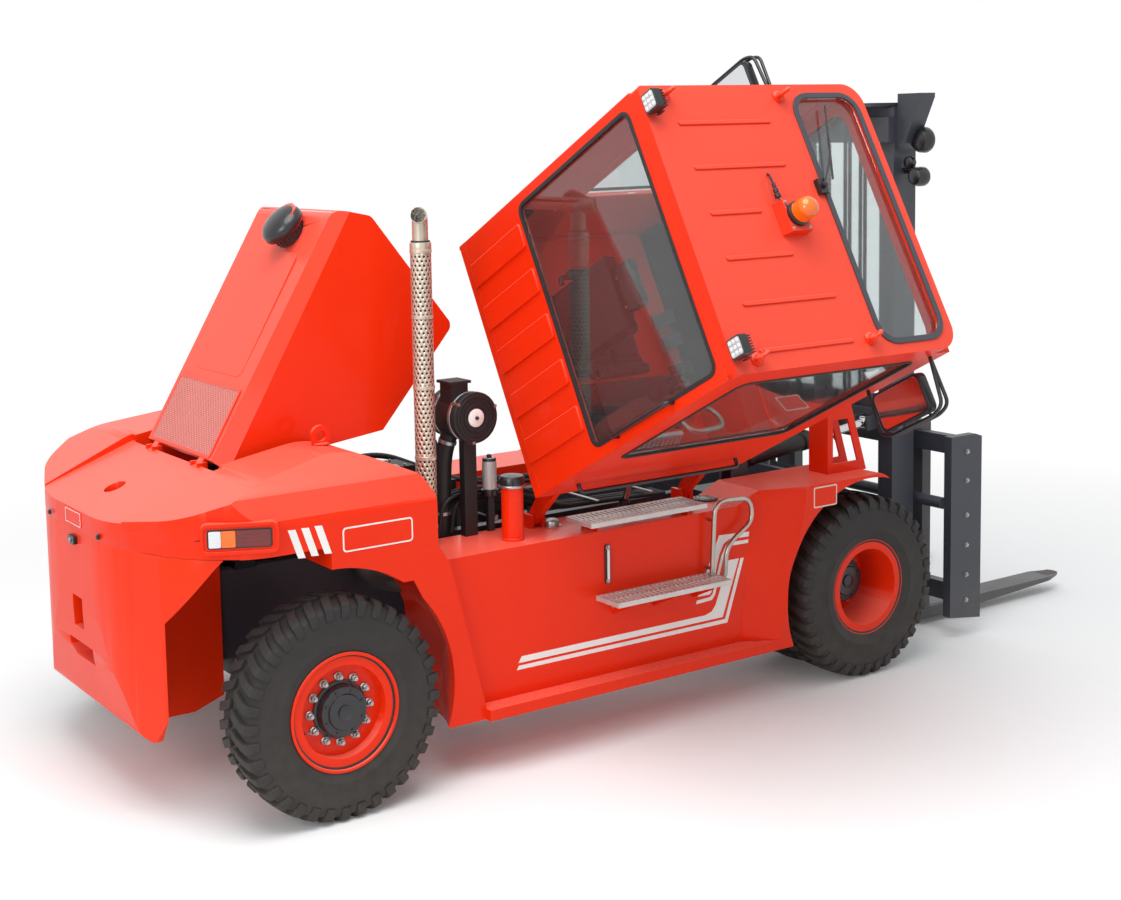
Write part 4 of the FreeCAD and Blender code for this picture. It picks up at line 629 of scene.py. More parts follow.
bm = bmesh.new()
for y in (-360, 360):
    bolt(bm, (REAR_X - 1, y, SEAM_Z + 30), "x", 11, 0, -1)
plate(bm, -45, 1300, 45, 1345, 12, "x", REAR_X - 22, REAR_X + 10)
bar(bm, (REAR_X - 30, 0, 1322), (REAR_X, 0, 1322), 13, 16, 1)
plate(bm, -115, 1398, 115, 1478, 10, "x", REAR_X - 3.5, REAR_X + 10, 2)
seal(bm, "x", REAR_X - 4.5, -108, 1404, 108, 1472, 3, 2, 6, 3)
for y in (-110, 110):
    bar(bm, (REAR_X - 6, y * 0.93, 1438), (REAR_X, y * 0.93, 1438), 4, 10, 1)
piece("rear_catch_and_plate", bm, "chassis", [hub_black, zinc, vermilion, white_film], 1)

# %% Tail lamps, cover corners and white bars
LAMP_FROM, LAMP_TO, LAMP_Z = Vector((-612, -1032)), Vector((-300, -1178)), (1425, 1545)
lamp_turn = math.atan2(LAMP_TO.y - LAMP_FROM.y, LAMP_TO.x - LAMP_FROM.x)
LAMP_LONG = (LAMP_TO - LAMP_FROM).length
CORNER = [(-828, -625), (-776, -767), (-737, -867), (-694, -938), (-650, -993), (-599, -1041),
          (-543, -1087), (-472, -1136), (-420, -1158), (-460, -1100), (-780, -660)]
for side, flip in (("right", 1), ("left", -1)):
    mirrored = TRUCK @ Matrix.Scale(flip, 4, (0, 1, 0))
    at_lamp = mirrored @ shift(LAMP_FROM.x, LAMP_FROM.y, 0) @ Matrix.Rotation(lamp_turn, 4, "Z")
    bm = bmesh.new()
    slab(bm, CORNER, "z", 1377, 1466)
    piece(side + "_cover_corner", bm, "chassis", [vermilion], 2, mirrored)
    bm = bmesh.new()
    face = -43
    seal(bm, "y", face - 10, 0, LAMP_Z[0], LAMP_LONG, LAMP_Z[1], 16, 55, 20)
    plate(bm, 0, LAMP_Z[0], LAMP_LONG, LAMP_Z[1], 20, "y", face, face + 45)
    plate(bm, 16, LAMP_Z[0] + 13, LAMP_LONG - 16, LAMP_Z[1] - 13, 12, "y", face - 4, face, 1)
    for x0, x1, lens_finish in ((24, 82, 2), (84, 152, 3), (154, LAMP_LONG - 24, 4)):
        plate(bm, x0, LAMP_Z[0] + 20, x1, LAMP_Z[1] - 20, 6, "y", face - 11, face, lens_finish)
        for k in range(1, 5):
            z = LAMP_Z[0] + 14 + k * (LAMP_Z[1] - LAMP_Z[0] - 28) / 5
            block(bm, x0 + 6, face - 12.5, z - 1.2, x1 - 6, face - 10.5, z + 1.2, lens_finish)
    piece(side + "_tail_lamp", bm, "chassis", [vermilion, hub_black, clear_lens, amber, red_lens], 1.2,
          at_lamp)
    bm = bmesh.new()
    for k in range(3):
        x = -236 + 73 * k
        slab(bm, [(x, 1495), (x + 42, 1492), (x + 92, 1345), (x + 52, 1348)], "y", -SIDE_Y, -SIDE_Y - 1.2)
    plate(bm, 65, 1337, 470, 1462, 20, "y", -SIDE_Y, -SIDE_Y - 1.2)
    plate(bm, 73, 1345, 462, 1454, 14, "y", -SIDE_Y, -SIDE_Y - 1.8, 1)
    piece(side + "_cover_film", bm, "chassis", [white_film, vermilion], 0, mirrored)

# %% Bosses of the lifting eyes
bm = bmesh.new()
for sign in (-1, 1):
    turned(bm, [(46, 0), (46, 6), (30, 10)], (210, sign * 700, 1795), "z", 24)
piece("lifting_ring_bosses", bm, "chassis", [vermilion], 1)

# %% [markdown]
# The flanks. The tank wall carries bent film stripes in two widths, a level gauge, a filler with
# its cap, two bolted flanges and a rail for the driver's hand. The treads of the steps are pressed
# aluminium with rows of slots; crossbars laid over three rails give real slots at low cost.

# %% Slotted step treads
def tread(name, x0, y0, x1, y1, z0, z1):
    bm = bmesh.new()
    for a, b in ((y0, y0 + 22), ((y0 + y1) / 2 - 11, (y0 + y1) / 2 + 11), (y1 - 22, y1)):
        block(bm, x0, a, z0, x1, b, z1)
    for a, b in ((x0 + 1, x0 + 12), (x1 - 12, x1 - 1)):
        block(bm, a, y0 + 1, z0 + 1, b, y1 - 1, z1 - 1)
    count = int((x1 - x0) / 32)
    for k in range(1, count):
        x = x0 + (x1 - x0) * k / count
        slab(bm, [(y0 + 10, z1 - 8), (y1 - 10, z1 - 8), (y1 - 10, z1 - 1), (y0 + 10, z1 - 1)], "x",
             x - 7.5, x + 7.5)
        for y in (y0 + 11, (y0 + y1) / 2, y1 - 11):
            turned(bm, [(4.5, z1 - 1), (3.5, z1 + 2.5)], (x, y, 0), "z", 8)
    return piece(name, bm, "chassis", [aluminium], 0.8)


# %% Both steps and their brackets
upper = tread("upper_step_tread", 1610, -1170, 2440, -940, 1225, 1252)
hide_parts("steps")
tread("lower_step_tread", 1680, -1310, 2500, -1110, 800, 828)
bm = bmesh.new()
for x in (1800, 2090, 2380):
    slab(bm, [(-1111, 700), (-1111, 800), (-1290, 800), (-1290, 785)], "x", x - 4, x + 4)
for x in (1700, 2350):
    block(bm, x - 4, -1110, 1185, x + 4, -960, 1226)
for x in (1800, 2380):
    bolt(bm, (x, -1111, 745), "y", 8, 1, -1)
piece("step_brackets", bm, "chassis", [vermilion, zinc], 1)

# %% Handrail
TANK_Y, TANK_TOP, BOARD_TOP = 1110, 1185, 370
FILLER_X, FILLER_Y, CAP_X, CAP_Y = 1235, -960, 1590, -824
bm = bmesh.new()
tube(bm, [(2475, -1165, 822), (2500, -1165, 1255), (2770, -1165, 1235), (2790, -1165, 1100),
          (2585, -1165, 980), (2575, -1165, 800), (2575, -1112, 780)], 14, 90, 14)
for z in (860, 1140):
    tube(bm, [(2478 + 0.058 * (z - 822), -1165, z), (2478 + 0.058 * (z - 822), -1111, z)], 10, 30)
turned(bm, [(24, 0), (24, 6)], (2477, -1165, 827), "z", 20)
piece("side_handrail", bm, "chassis", [stainless], 0.5)

# %% Level gauges
bm = bmesh.new()
for sign in (-1, 1):
    y = sign * TANK_Y
    plate(bm, 1742, 885, 1778, 1105, 12, "y", y, y + sign * 8)
    bar(bm, (1760, y + sign * 14, 910), (1760, y + sign * 14, 1080), 8, 12, 1)
    for z in (900, 1090):
        bolt(bm, (1760, y + sign * 8, z), "y", 9, 2, sign)
piece("level_gauges", bm, "chassis", [hub_black, clear_lens, zinc], 1)

# %% Filler and tank cap
bm = bmesh.new()
turned(bm, [(62, 1178), (62, 1196), (57, 1200)], (FILLER_X, FILLER_Y, 0), "z", 40)
turned(bm, [(70, 1488), (70, 1524), (62, 1538), (20, 1542)], (FILLER_X, FILLER_Y, 0), "z", 40, 1)
for x, y in circle(12, 69):
    block(bm, FILLER_X + x - 4, FILLER_Y + y - 4, 1492, FILLER_X + x + 4, FILLER_Y + y + 4, 1522, 1)
turned(bm, [(46, 1186), (46, 1200), (42, 1213), (30, 1222), (12, 1226)], (CAP_X, CAP_Y, 0), "z", 32, 2)
turned(bm, [(58, 1184), (58, 1189)], (CAP_X, CAP_Y, 0), "z", 32, 2)
turned(bm, band(70.5, 72.5, 1483, 7, 3), (FILLER_X, FILLER_Y, 0), "z", 40, 2)
piece("tank_caps", bm, "chassis", [vermilion, hub_black, zinc], 1.2)

# %% Bolted flanges
bm = bmesh.new()
for cx, cy in ((2700, -860), (2700, 860)):
    turned(bm, [(75, TANK_TOP - 2), (75, TANK_TOP + 8), (68, TANK_TOP + 11)], (cx, cy, 0), "z", 40)
    for x, y in circle(8, 58):
        bolt(bm, (cx + x, cy + y, TANK_TOP + 10), "z", 6.5, 1)
piece("tank_flanges", bm, "chassis", [hub_black, zinc], 1)


# %% Film on the flanks
FILM = 1.2
BROAD_BAND = [(1152, 546), (1174, 580), (2470, 576), (2520, 590), (2548, 622), (2652, 874), (2730, 872),
              (2603, 542)]
THIN_BAND = [(1141, 509), (1154, 531), (2621, 527), (2743, 871), (2768, 870), (2639, 503)]
BROAD_HOOK = [(2415, 695), (2579, 1032), (2813, 1020), (2812, 992), (2655, 998), (2612, 977), (2578, 915),
              (2518, 705), (2505, 694)]
THIN_HOOK = [(2401, 653), (2407, 674), (2508, 678), (2527, 694), (2594, 906), (2629, 961), (2657, 979),
             (2806, 974), (2802, 954), (2662, 957), (2644, 945), (2612, 900), (2546, 688), (2522, 659)]
for side, sign in SIDES:
    bm = bmesh.new()
    y = sign * TANK_Y
    for outline in (BROAD_BAND, THIN_BAND, BROAD_HOOK, THIN_HOOK):
        slab(bm, outline, "y", y, y + sign * FILM)
    piece(side + "_flank_film", bm, "chassis", [white_film], 0)
    bm = bmesh.new()
    y = sign * 1225
    plate(bm, 3220, 1120, 3410, 1245, 10, "y", y, y + sign * 1.2)
    plate(bm, 3228, 1128, 3402, 1237, 8, "y", y, y + sign * 1.8, 1)
    piece(side + "_fender_blank", bm, "chassis", [pale_blank, vermilion], 0)

# %% [markdown]
# The running boards are checker plate. The raised lozenges are small, but they catch light in a
# pattern that the eye knows, so they are real: each is a flat-topped wedge, turned one way or the other.

# %% Checker plate on the running boards
bm = bmesh.new()
for sign in (-1, 1):
    for i in range(64):
        for j in range(4):
            cx, cy = 925 + i * 31.2, sign * (1128 + j * 26)
            turn = math.radians(45 if (i + j) % 2 else -45)
            ring = []
            for dx, dy in ((13, 0), (0, 4.2), (-13, 0), (0, -4.2)):
                ring.append((cx + dx * math.cos(turn) - dy * math.sin(turn),
                             cy + dx * math.sin(turn) + dy * math.cos(turn)))
            top = [(cx + (x - cx) * 0.6, cy + (y - cy) * 0.6) for x, y in ring]
            faces_of(bm, [[(x, y, BOARD_TOP - 0.5) for x, y in ring],
                          [(x, y, BOARD_TOP + 2.2) for x, y in top]])
piece("board_lozenges", bm, "chassis", [vermilion], 0)

# %% [markdown]
# The cab. It is drawn closed and upright, then the CAB matrix rolls it over with the CAD. The glass
# sits in black rubber seals. The thin rear wall is stiffened by five pressed panels and the roof by
# six swages: a press leaves a low plateau with soft edges, which a wide bevel gives.

# %% Window seals of the cab
CAB_BACK, CAB_FLOOR, CAB_TOP, WALL_Y = 1324, 1550, 3362, 751
ROOF = CAB @ shift(0, 0, CAB_TOP)
bm = bmesh.new()
seal(bm, "x", CAB_BACK - 5, -675, 2196, 675, 3226, 22, 16, 40)
seal(bm, "y", -WALL_Y - 5, 1490, 2156, 2628, 3196, 20, 16)
seal(bm, "x", 2790, -665, 1936, 665, 3216, 20, 18, 60)
piece("window_seals", bm, "cab", [hose_rubber], 2, CAB)
bm = bmesh.new()
seal(bm, "z", CAB_TOP - 3, 2310, -668, 2722, 668, 30, 12, 90)
piece("roof_window_seal", bm, "cab", [mast_grey], 3, CAB)
bm = bmesh.new()
seal(bm, "y", WALL_Y + 14, 1770, 2196, 2568, 3136, 18, 12, 60)
piece("door_window_seal", bm, "cab_door_body", [hose_rubber], 2, CAB)

# %% Pressed panels and swages
bm = bmesh.new()
for k in range(5):
    y = 536 - 261 * k
    slab(bm, frame_outline(y - 70, CAB_FLOOR + 60, y + 70, CAB_FLOOR + 600, 12, 3), "x", CAB_BACK - 13,
         CAB_BACK + 4)
piece("rear_wall_panels", bm, "cab", [vermilion], 7, CAB, 3)
bm = bmesh.new()
for y, x1 in ((541, 772), (299, 766), (56, 500), (-180, 600), (-415, 773), (-652, 780)):
    slab(bm, frame_outline(CAB_BACK + 175, y - 12, CAB_BACK + x1, y + 12, 11, 3), "z", -2, 8)
piece("roof_swages", bm, "cab", [vermilion], 4, ROOF, 3)


# %% Lifting rings on the roof
RING_R, RING_WIRE, RING_TURN = 30, 11, 0.5
bm = bmesh.new()
flat = Vector((math.cos(RING_TURN), math.sin(RING_TURN), 0)), Vector((0, 0, 1))
for x, y in ((2211, 678), (1465, -689), (2217, -656), (1465, 690)):
    turned(bm, [(34, 0), (34, 8), (22, 16)], (x, y, 0), "z", 20)
    hoop(bm, Vector((x, y, 16 + RING_R)), (*flat, Vector((-flat[0].y, flat[0].x, 0))), RING_R,
         RING_WIRE, 24, 10)
piece("roof_lifting_rings", bm, "cab", [vermilion], 0, ROOF)

# %% Work lamps
LED_Y = 636
for side, sign in SIDES:
    bm = bmesh.new()
    y = sign * LED_Y
    block(bm, 1352, y - 12, 0, 1400, y + 12, 18)
    slab(bm, [(y - 58, 15), (y - 52, 15), (y - 52, 60), (y - 58, 60)], "x", 1370, 1390)
    plate(bm, y - 50, 6, y + 50, 104, 14, "x", 1318, 1360)
    for k in range(7):
        block(bm, 1360, y - 44 + 13.5 * k, 14, 1392, y - 39 + 13.5 * k, 94)
    plate(bm, y - 42, 14, y + 42, 96, 10, "x", 1314, 1320, 1)
    for i in range(3):
        for j in range(3):
            turned(bm, [(11, 0), (11, -3), (7, -6)][::-1],
                   (1315, y - 27 + 27 * i, 28 + 27 * j), "x", 16, 2)
    piece(side + "_work_lamp", bm, "cab", [hub_black, silver_paint, clear_lens], 1.2, ROOF)

# %% Beacon
bm = bmesh.new()
slab(bm, [(1900, -1), (2070, -1), (2055, 55), (1925, 55)], "y", -85, 85)
turned(bm, [(64, 55), (64, 75), (55, 80)], (1989, 0, 0), "z", 40, 1)
for x, y in ((1940, -70), (1940, 70), (2040, -70), (2040, 70)):
    bolt(bm, (x, y, 55), "z", 6, 2)
for k in range(3):
    bar(bm, (1930, 105 + 28 * k, 34), (1930, 125 + 28 * k, 34), 16 - 3 * k, 14, 1)
tube(bm, [(1930, 180, 34), (1930, 230, 30), (1950, 250, -2)], 6, 30, 8, 1)
tube(bm, [(1970, 20, 65), (1930, 60, 50), (1930, 110, 34)], 6, 30, 8, 1)
beacon_base = piece("beacon_base", bm, "cab", [vermilion, hub_black, zinc], 2, ROOF)
bm = bmesh.new()
dome = [(53, 78), (56, 84)] + [(56, 90 + 6 * k) for k in range(9)]
dome += [(54 * math.cos(math.radians(a)), 140 + 45 * math.sin(math.radians(a)))
         for a in (10, 25, 40, 55, 70, 84)]
turned(bm, [(r + (1.2 if k % 2 and k < 11 else 0), h) for k, (r, h) in enumerate(dome)], (1989, 0, 0),
       "z", 48)
piece("beacon_dome", bm, "cab", [amber], 0, ROOF)
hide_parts("roof_lights")

# %% Roof wiper
bm = bmesh.new()
block(bm, 2235, 120, -2, 2285, 200, 30)
turned(bm, [(16, 20), (16, 50), (8, 55)], (2262, 160, 0), "z", 16)
tube(bm, [(2262, 160, 40), (2360, 300, 45), (2430, 420, 22)], 5, 60, 8)
tube(bm, [(2360, 200, 14), (2500, 620, 14)], 6, 50, 8)
piece("roof_wiper", bm, "cab", [hub_black], 1, ROOF)

# %% [markdown]
# Mirrors hang on bent tube outside the front corners, one low on the left and one folded in on the
# right. The head is a moulded shell with the glass let into it, and the tube goes right round it.

# %% How a mirror is made
def mirror(bm, x, y0, y1, z0, z1, wall, post):
    """A mirror head across y0 to y1, with its tube hoop back to the wall."""
    plate(bm, y0, z0, y1, z1, 35, "x", x, x + 50)
    plate(bm, y0 + 12, z0 + 12, y1 - 12, z1 - 12, 28, "x", x - 3, x + 1, 1)
    seal(bm, "x", x - 6, y0 + 14, z0 + 14, y1 - 14, z1 - 14, 12, 8, 28)
    sign = 1 if (y0 + y1) / 2 > 0 else -1
    reach = sign * max(abs(y0), abs(y1)) + sign * 20
    for dx in (30, 75):
        tube(bm, [(post, wall, z0 - 60), (x + dx, reach - sign * 30, z0 - 50), (x + dx, reach, z0 + 20),
                  (x + dx, reach, z1 - 20), (x + dx, reach - sign * 30, z1 + 50), (post, wall, z1 + 60)],
             10, 50, 10)
    for z in (z0 + 80, z1 - 80):
        bar(bm, (x + 30, (y0 + y1) / 2, z), (x + 78, reach, z), 8, 10)


# %% The two mirrors and the rails
bm = bmesh.new()
mirror(bm, 2640, 985, 1215, 2470, 2830, WALL_Y, 2700)
mirror(bm, 2640, -1010, -800, 2840, 3190, -WALL_Y, 2700)
heads = piece("mirror_heads", bm, "cab", [hub_black, mirror_glass], 3, CAB)
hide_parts("mirrors")
bm = bmesh.new()
tube(bm, [(CAB_BACK, -700, 2400), (CAB_BACK - 50, -700, 2400), (CAB_BACK - 50, -700, 2880),
          (CAB_BACK, -700, 2880)], 11)
tube(bm, [(1620, WALL_Y, 1950), (1620, WALL_Y + 55, 1950), (1620, WALL_Y + 55, 2750), (1620, WALL_Y, 2750)],
     13, 60)
tube(bm, [(1500, -WALL_Y, 1720), (1500, -WALL_Y - 50, 1720), (2620, -WALL_Y - 50, 1720),
          (2620, -WALL_Y, 1720)], 12, 60)
piece("cab_grab_rails", bm, "cab", [hub_black], 0, CAB)

# %% [markdown]
# The engine cover. Its sloping face has an air grille of crossed wires in a frame, a pressed middle
# panel and a round cap over the breather. Wires are made as thin strips in two slanted directions
# over a dark red plate, because see-through wire mesh of this fineness would cost far more faces. The
# plate is painted shade, for the dark bay seen through the mesh, and the red wires are pale pink, a
# painted highlight.

# %% Grille of the cover
GRILLE_X, GRILLE_Y, FACE_Z = (55, 425), 375, 12
bm = bmesh.new()
seal(bm, "z", FACE_Z - 6, GRILLE_X[0], -GRILLE_Y, GRILLE_X[1], GRILLE_Y, 16, 11, 12)
plate(bm, GRILLE_X[0], -GRILLE_Y, GRILLE_X[1], GRILLE_Y, 12, "z", FACE_Z - 10, FACE_Z + 1, 1)
PITCH, WIRE = 21.5, 4.2
wide, tall = 2 * GRILLE_Y, GRILLE_X[1] - GRILLE_X[0]
for slant in (1, -1):
    for k in range(-int(tall / PITCH), int(wide / PITCH) + int(tall / PITCH)):
        y0 = slant * (k * PITCH - GRILLE_Y)
        low, high = max(0, -k * PITCH), min(tall, wide - k * PITCH)
        if high - low < 4:
            continue
        a, b = (GRILLE_X[0] + low, y0 + slant * low), (GRILLE_X[0] + high, y0 + slant * high)
        slab(bm, [(a[0] - WIRE / 2, a[1] + slant * WIRE / 2), (a[0] + WIRE / 2, a[1] - slant * WIRE / 2),
                  (b[0] + WIRE / 2, b[1] - slant * WIRE / 2), (b[0] - WIRE / 2, b[1] + slant * WIRE / 2)],
             "z", FACE_Z + 1, FACE_Z + (3.6 if slant > 0 else 2.6), 2)
# Wire finish: red wire made pale pink as a painted highlight. Plate finish: dark red painted shade for the
# bay behind the mesh.
painted_highlight_wire = finish_of("grille_wire_painted_highlight", (226, 140, 130), (212, 126, 118), 0.4, 0.06, 4.0, 300, 0.05, 0.0004,
                        metallic=0.1)
grille_painted_shade = finish_of("grille_shade", (124, 40, 34), (92, 24, 20), 0.6, 0.08, 4.0, 300, 0.05, 0.0004)
piece("cover_grille", bm, "engine_cover", [vermilion, grille_painted_shade, painted_highlight_wire], 0, HOOD)

# %% Panel and breather cap
bm = bmesh.new()
plate(bm, 495, -300, 1240, 300, 50, "z", -12, 10)
slab(bm, [(462, -400), (468, -400), (468, 400), (462, 400)], "z", -1, 4.5, 1)
piece("cover_panel", bm, "engine_cover", [vermilion, hub_black], 6, HOOD, 3)
bm = bmesh.new()
CAP_AT, cap_axis = Vector((1345, -120, 0)), across((0.24, 0, 0.97))
turned(bm, [(94, 0), (94, 58), (122, 60), (128, 70), (128, 94), (120, 116), (92, 138),
            (50, 149), (12, 152)], CAP_AT, cap_axis, 56)
for p, q in circle(20, 95.5):
    foot = CAP_AT + cap_axis[0] * p + cap_axis[1] * q
    bar(bm, foot + cap_axis[2] * 12, foot + cap_axis[2] * 58, 3, 8)
piece("breather_cap", bm, "engine_cover", [hub_black], 1, HOOD)

# %% [markdown]
# The exhaust. A hot pipe stands in a heat shield of perforated sheet, held off it by clamps, and a
# bent mouth points back so that rain stays out. The holes are real: the sheet is made of slanted
# cells, and each cell is a ring of eight faces between its edge and a round hole.

# %% The shield laid out flat
PIPE_X, PIPE_Y, SHIELD_R = 815, -760, 55.5
bm = bmesh.new()
ROUND, ROWS, LOW_Z, HIGH_Z, HOLE_R = 14, 64, 1260, 2790, 6.6
CELL = ((1, 0), (0.5, 0.5), (0, 1), (-0.5, 0.5), (-1, 0), (-0.5, -0.5), (0, -1), (0.5, -0.5))
half_high = (HIGH_Z - LOW_Z) / ROWS
half_wide = math.pi * SHIELD_R / ROUND


def on_shield(along, z):
    """A point of the flat sheet rolled round the pipe."""
    return PIPE_X + SHIELD_R * math.cos(along / SHIELD_R), PIPE_Y + SHIELD_R * math.sin(along / SHIELD_R), z


# %% The perforated sheet
for j in range(1, ROWS):
    for k in range(ROUND):
        s0, z0 = (2 * k + j % 2) * half_wide, LOW_Z + j * half_high
        faces_of(bm, [[on_shield(s0 + dx * half_wide, z0 + dz * half_high) for dx, dz in CELL],
                      [on_shield(s0 + dx, z0 + dz) for dx, dz in circle(8, HOLE_R)]], ends=False)
bmesh.ops.remove_doubles(bm, verts=bm.verts[:], dist=0.0002)
print("shield holes", (ROWS - 1) * ROUND, "faces", len(bm.faces))
shield = piece("exhaust_shield", bm, "chassis", [shield_sheet], 0)
thick = shield.modifiers.new("sheet", "SOLIDIFY")
thick.thickness, thick.offset = 0.0016, 0

# %% Clamps and mouth
bm = bmesh.new()
for z in (1280, 1660, 2040, 2420, 2770):
    turned(bm, band(SHIELD_R + 1, SHIELD_R + 3.5, z, 11), (PIPE_X, PIPE_Y, 0), "z", 48)
    block(bm, PIPE_X - 12, PIPE_Y - SHIELD_R - 22, z - 8, PIPE_X + 12, PIPE_Y - SHIELD_R, z + 8)
    bar(bm, (PIPE_X - 20, PIPE_Y - SHIELD_R - 14, z), (PIPE_X + 20, PIPE_Y - SHIELD_R - 14, z), 5, 10)
piece("exhaust_clamps", bm, "chassis", [shield_sheet], 0.6)
bm = bmesh.new()
turned(bm, [(57.5, 2778), (58, 2782), (58, 2808), (56, 2815), (44, 2822)], (PIPE_X, PIPE_Y, 0), "z", 40)
MOUTH_AT, MOUTH_TO = (PIPE_X - 55, PIPE_Y - 75, 2965), (-0.59, -0.80, 0.10)
tube(bm, [(PIPE_X, PIPE_Y, 2800), (PIPE_X, PIPE_Y, 2955), MOUTH_AT], 43, 75, 28, 0, 10)
turned(bm, [(43.6, -30), (44.2, 4), (40.5, 5)], MOUTH_AT, across(MOUTH_TO))
turned(bm, [(40.5, 5), (39, 2.5), (1, 1.5)], MOUTH_AT, across(MOUTH_TO), 32, 1)
piece("exhaust_mouth", bm, "chassis", [shield_sheet, hub_black], 0.6)

# %% [markdown]
# The air cleaner is a black drum across the truck with a ribbed end, a white round plate left bare
# and two clamp bands. It breathes through a box on top. A wide rubber hose with two bands leads
# down from it into the bay, outside the closed cover, and a small water separator stands beside.

# %% Air cleaner
DRUM_X, DRUM_Z, DRUM_R = 1100, 1850, 135
bm = bmesh.new()
turned(bm, [(DRUM_R + 3, -826), (DRUM_R + 6, -820), (DRUM_R + 6, -790), (DRUM_R + 2, -785)],
       (0, 0, 0), "y", 56)
for y in (-760, -600):
    turned(bm, band(DRUM_R + 1, DRUM_R + 4, y, 12), (0, 0, 0), "y", 56, 2)
for r, out in ((118, 834), (96, 830), (74, 834)):
    turned(bm, [(r + 6, -818), (r + 4, -out), (r - 4, -out), (r - 6, -818)], (0, 0, 0), "y", 48)
turned(bm, [(50, -818), (50, -829), (47, -831), (12, -832)][::-1], (0, 0, 0), "y", 40, 1)
turned(bm, [(10, -818), (10, -842), (6, -846)][::-1], (0, 0, 0), "y", 16)
for x, z in circle(3, 137, 0.4):
    block(bm, x - 8, -830, z - 8, x + 8, -760, z + 8, 2)
piece("air_cleaner_trim", bm, "chassis", [moulded, white_film, zinc], 1, TRUCK @ shift(DRUM_X, 0, DRUM_Z))

# %% Intake hose and inlet box
bm = bmesh.new()
tube(bm, [(DRUM_X - 50, -640, DRUM_Z - 90), (DRUM_X - 80, -610, 1620), (DRUM_X - 100, -600, 1120)], 48, 130,
     24, 0, 10)
block(bm, DRUM_X - 110, -760, DRUM_Z + 70, DRUM_X - 5, -640, DRUM_Z + 185)
block(bm, DRUM_X - 125, -770, DRUM_Z + 185, DRUM_X + 10, -630, DRUM_Z + 200)
for p, d in (((DRUM_X - 62, -628, 1700), (-0.2, 0.2, -1)), ((DRUM_X - 92, -604, 1300), (0, 0, 1))):
    turned(bm, band(49.5, 52, 0, 10, 1), p, across(d), 32, 1)
piece("intake_hose", bm, "chassis", [hose_rubber, zinc], 0.6)

# %% Water separator
bm = bmesh.new()
turned(bm, [(39.5, 1422), (40.5, 1430), (40.5, 1565), (36, 1592), (30, 1598)], (0, 0, 0), "z", 36)
turned(bm, [(46, 1385), (48, 1392), (48, 1418), (40, 1424)], (0, 0, 0), "z", 36, 1)
turned(bm, [(14, 1596), (14, 1612), (10, 1616)], (0, 0, 0), "z", 16, 1)
piece("water_separator", bm, "chassis", [silver_paint, hub_black], 1, TRUCK @ shift(1250, -720, 0))

# %% [markdown]
# The engine bay. The CAD holds one plain block for the engine, as the order asks, and this dresses
# it: rocker covers with bolts, a turbo with its hot pipe to the stack, filters, belt pulleys, the
# fan in its shroud, radiator fins, and bundles of hydraulic hose. The hoses wander a little, by a
# seeded draw, because nobody lays nine hoses perfectly straight.

# %% Engine
bm = bmesh.new()
for k in range(6):
    x = 240 + 155 * k
    slab(bm, [(x, 1395), (x + 135, 1395), (x + 125, 1475), (x + 10, 1475)], "y", -110, 110)
    for y in (-85, 85):
        bolt(bm, (x + 67, y, 1474), "z", 9, 2)
    bar(bm, (x + 67, 130, 1400), (x + 67, 130, 1470), 14, 12, 2)
    tube(bm, [(x + 67, 130, 1460), (x + 67, 220, 1460), (620, 260, 1360)], 4.5, 40, 8, 2)
for k in range(9):
    block(bm, 170 + 125 * k, -306, 740, 190 + 125 * k, -296, 1360)
    block(bm, 170 + 125 * k, 296, 740, 190 + 125 * k, 306, 1360)
slab(bm, [(220, 1240), (1140, 1240), (1140, 1340), (220, 1340)], "y", -400, -300, 1)
for k in range(6):
    tube(bm, [(300 + 150 * k, -290, 1380), (300 + 150 * k, -360, 1400), (300 + 150 * k, -360, 1300)], 28,
         50, 14, 1)
turned(bm, [(50, -70), (105, -45), (110, 0), (105, 30), (60, 45), (60, 90)], (720, -370, 1470), "x", 32, 1)
turned(bm, [(35, 90), (80, 100), (85, 140), (50, 170)], (720, -370, 1470), "x", 32, 3)
tube(bm, [(660, -370, 1470), (580, -430, 1440), (580, -430, 970), (660, -700, 970), (PIPE_X, PIPE_Y, 970),
          (PIPE_X, PIPE_Y, 1200)], 43, 110, 20, 1, 8)
for x in (360, 500):
    turned(bm, [(50, 1060), (55, 1070), (55, 1250), (45, 1265)], (x, 400, 0), "z", 28, 3)
    block(bm, x - 60, 300, 1250, x + 60, 460, 1290)
piece("engine_dress", bm, "chassis", [iron_black, cast_iron, zinc, silver_paint], 2)

# %% Radiator and fan
bm = bmesh.new()
for k in range(46):
    y = -360 + 16 * k
    block(bm, -42, y - 1.5, 1135, -34, y + 1.5, 1505, 1)
for z in (1115, 1490):
    block(bm, -155, -385, z, -35, 385, z + 45)
FAN = Vector((0, 0, 1300))
turned(bm, [(255, 0), (255, 70), (245, 70), (245, 0), (255, 0)], FAN - Vector((30, 0, 0)), "x", 48,
       ends=False)
blade = (Vector((0, 0, 0)), Vector((30, 0, 0)), Vector((34, 0, 0)), Vector((4, 0, 0)))
for c, d in circle(8, 1):
    u, v = Vector((0, c, d)), Vector((0, -d, c))
    faces_of(bm, [[FAN + u * out + v * side * half + step for side, step in zip((1, -1, -1, 1), blade)]
                  for out, half in ((50, 30), (235, 55))])
turned(bm, [(60, -10), (60, 50), (30, 60)], FAN, "x", 24)
turned(bm, [(110, 75), (115, 80), (108, 90), (115, 100), (110, 105)], (20, 0, 1020), "x", 36)
turned(bm, [(90, 60), (95, 65), (88, 80), (95, 90), (90, 100)], (30, 0, 1300), "x", 36)
for y in (-270, 270):
    tube(bm, [(-60, y, 1530), (40, y, 1560), (200, y * 0.8, 1500), (260, y * 0.5, 1420)], 28, 80, 16)
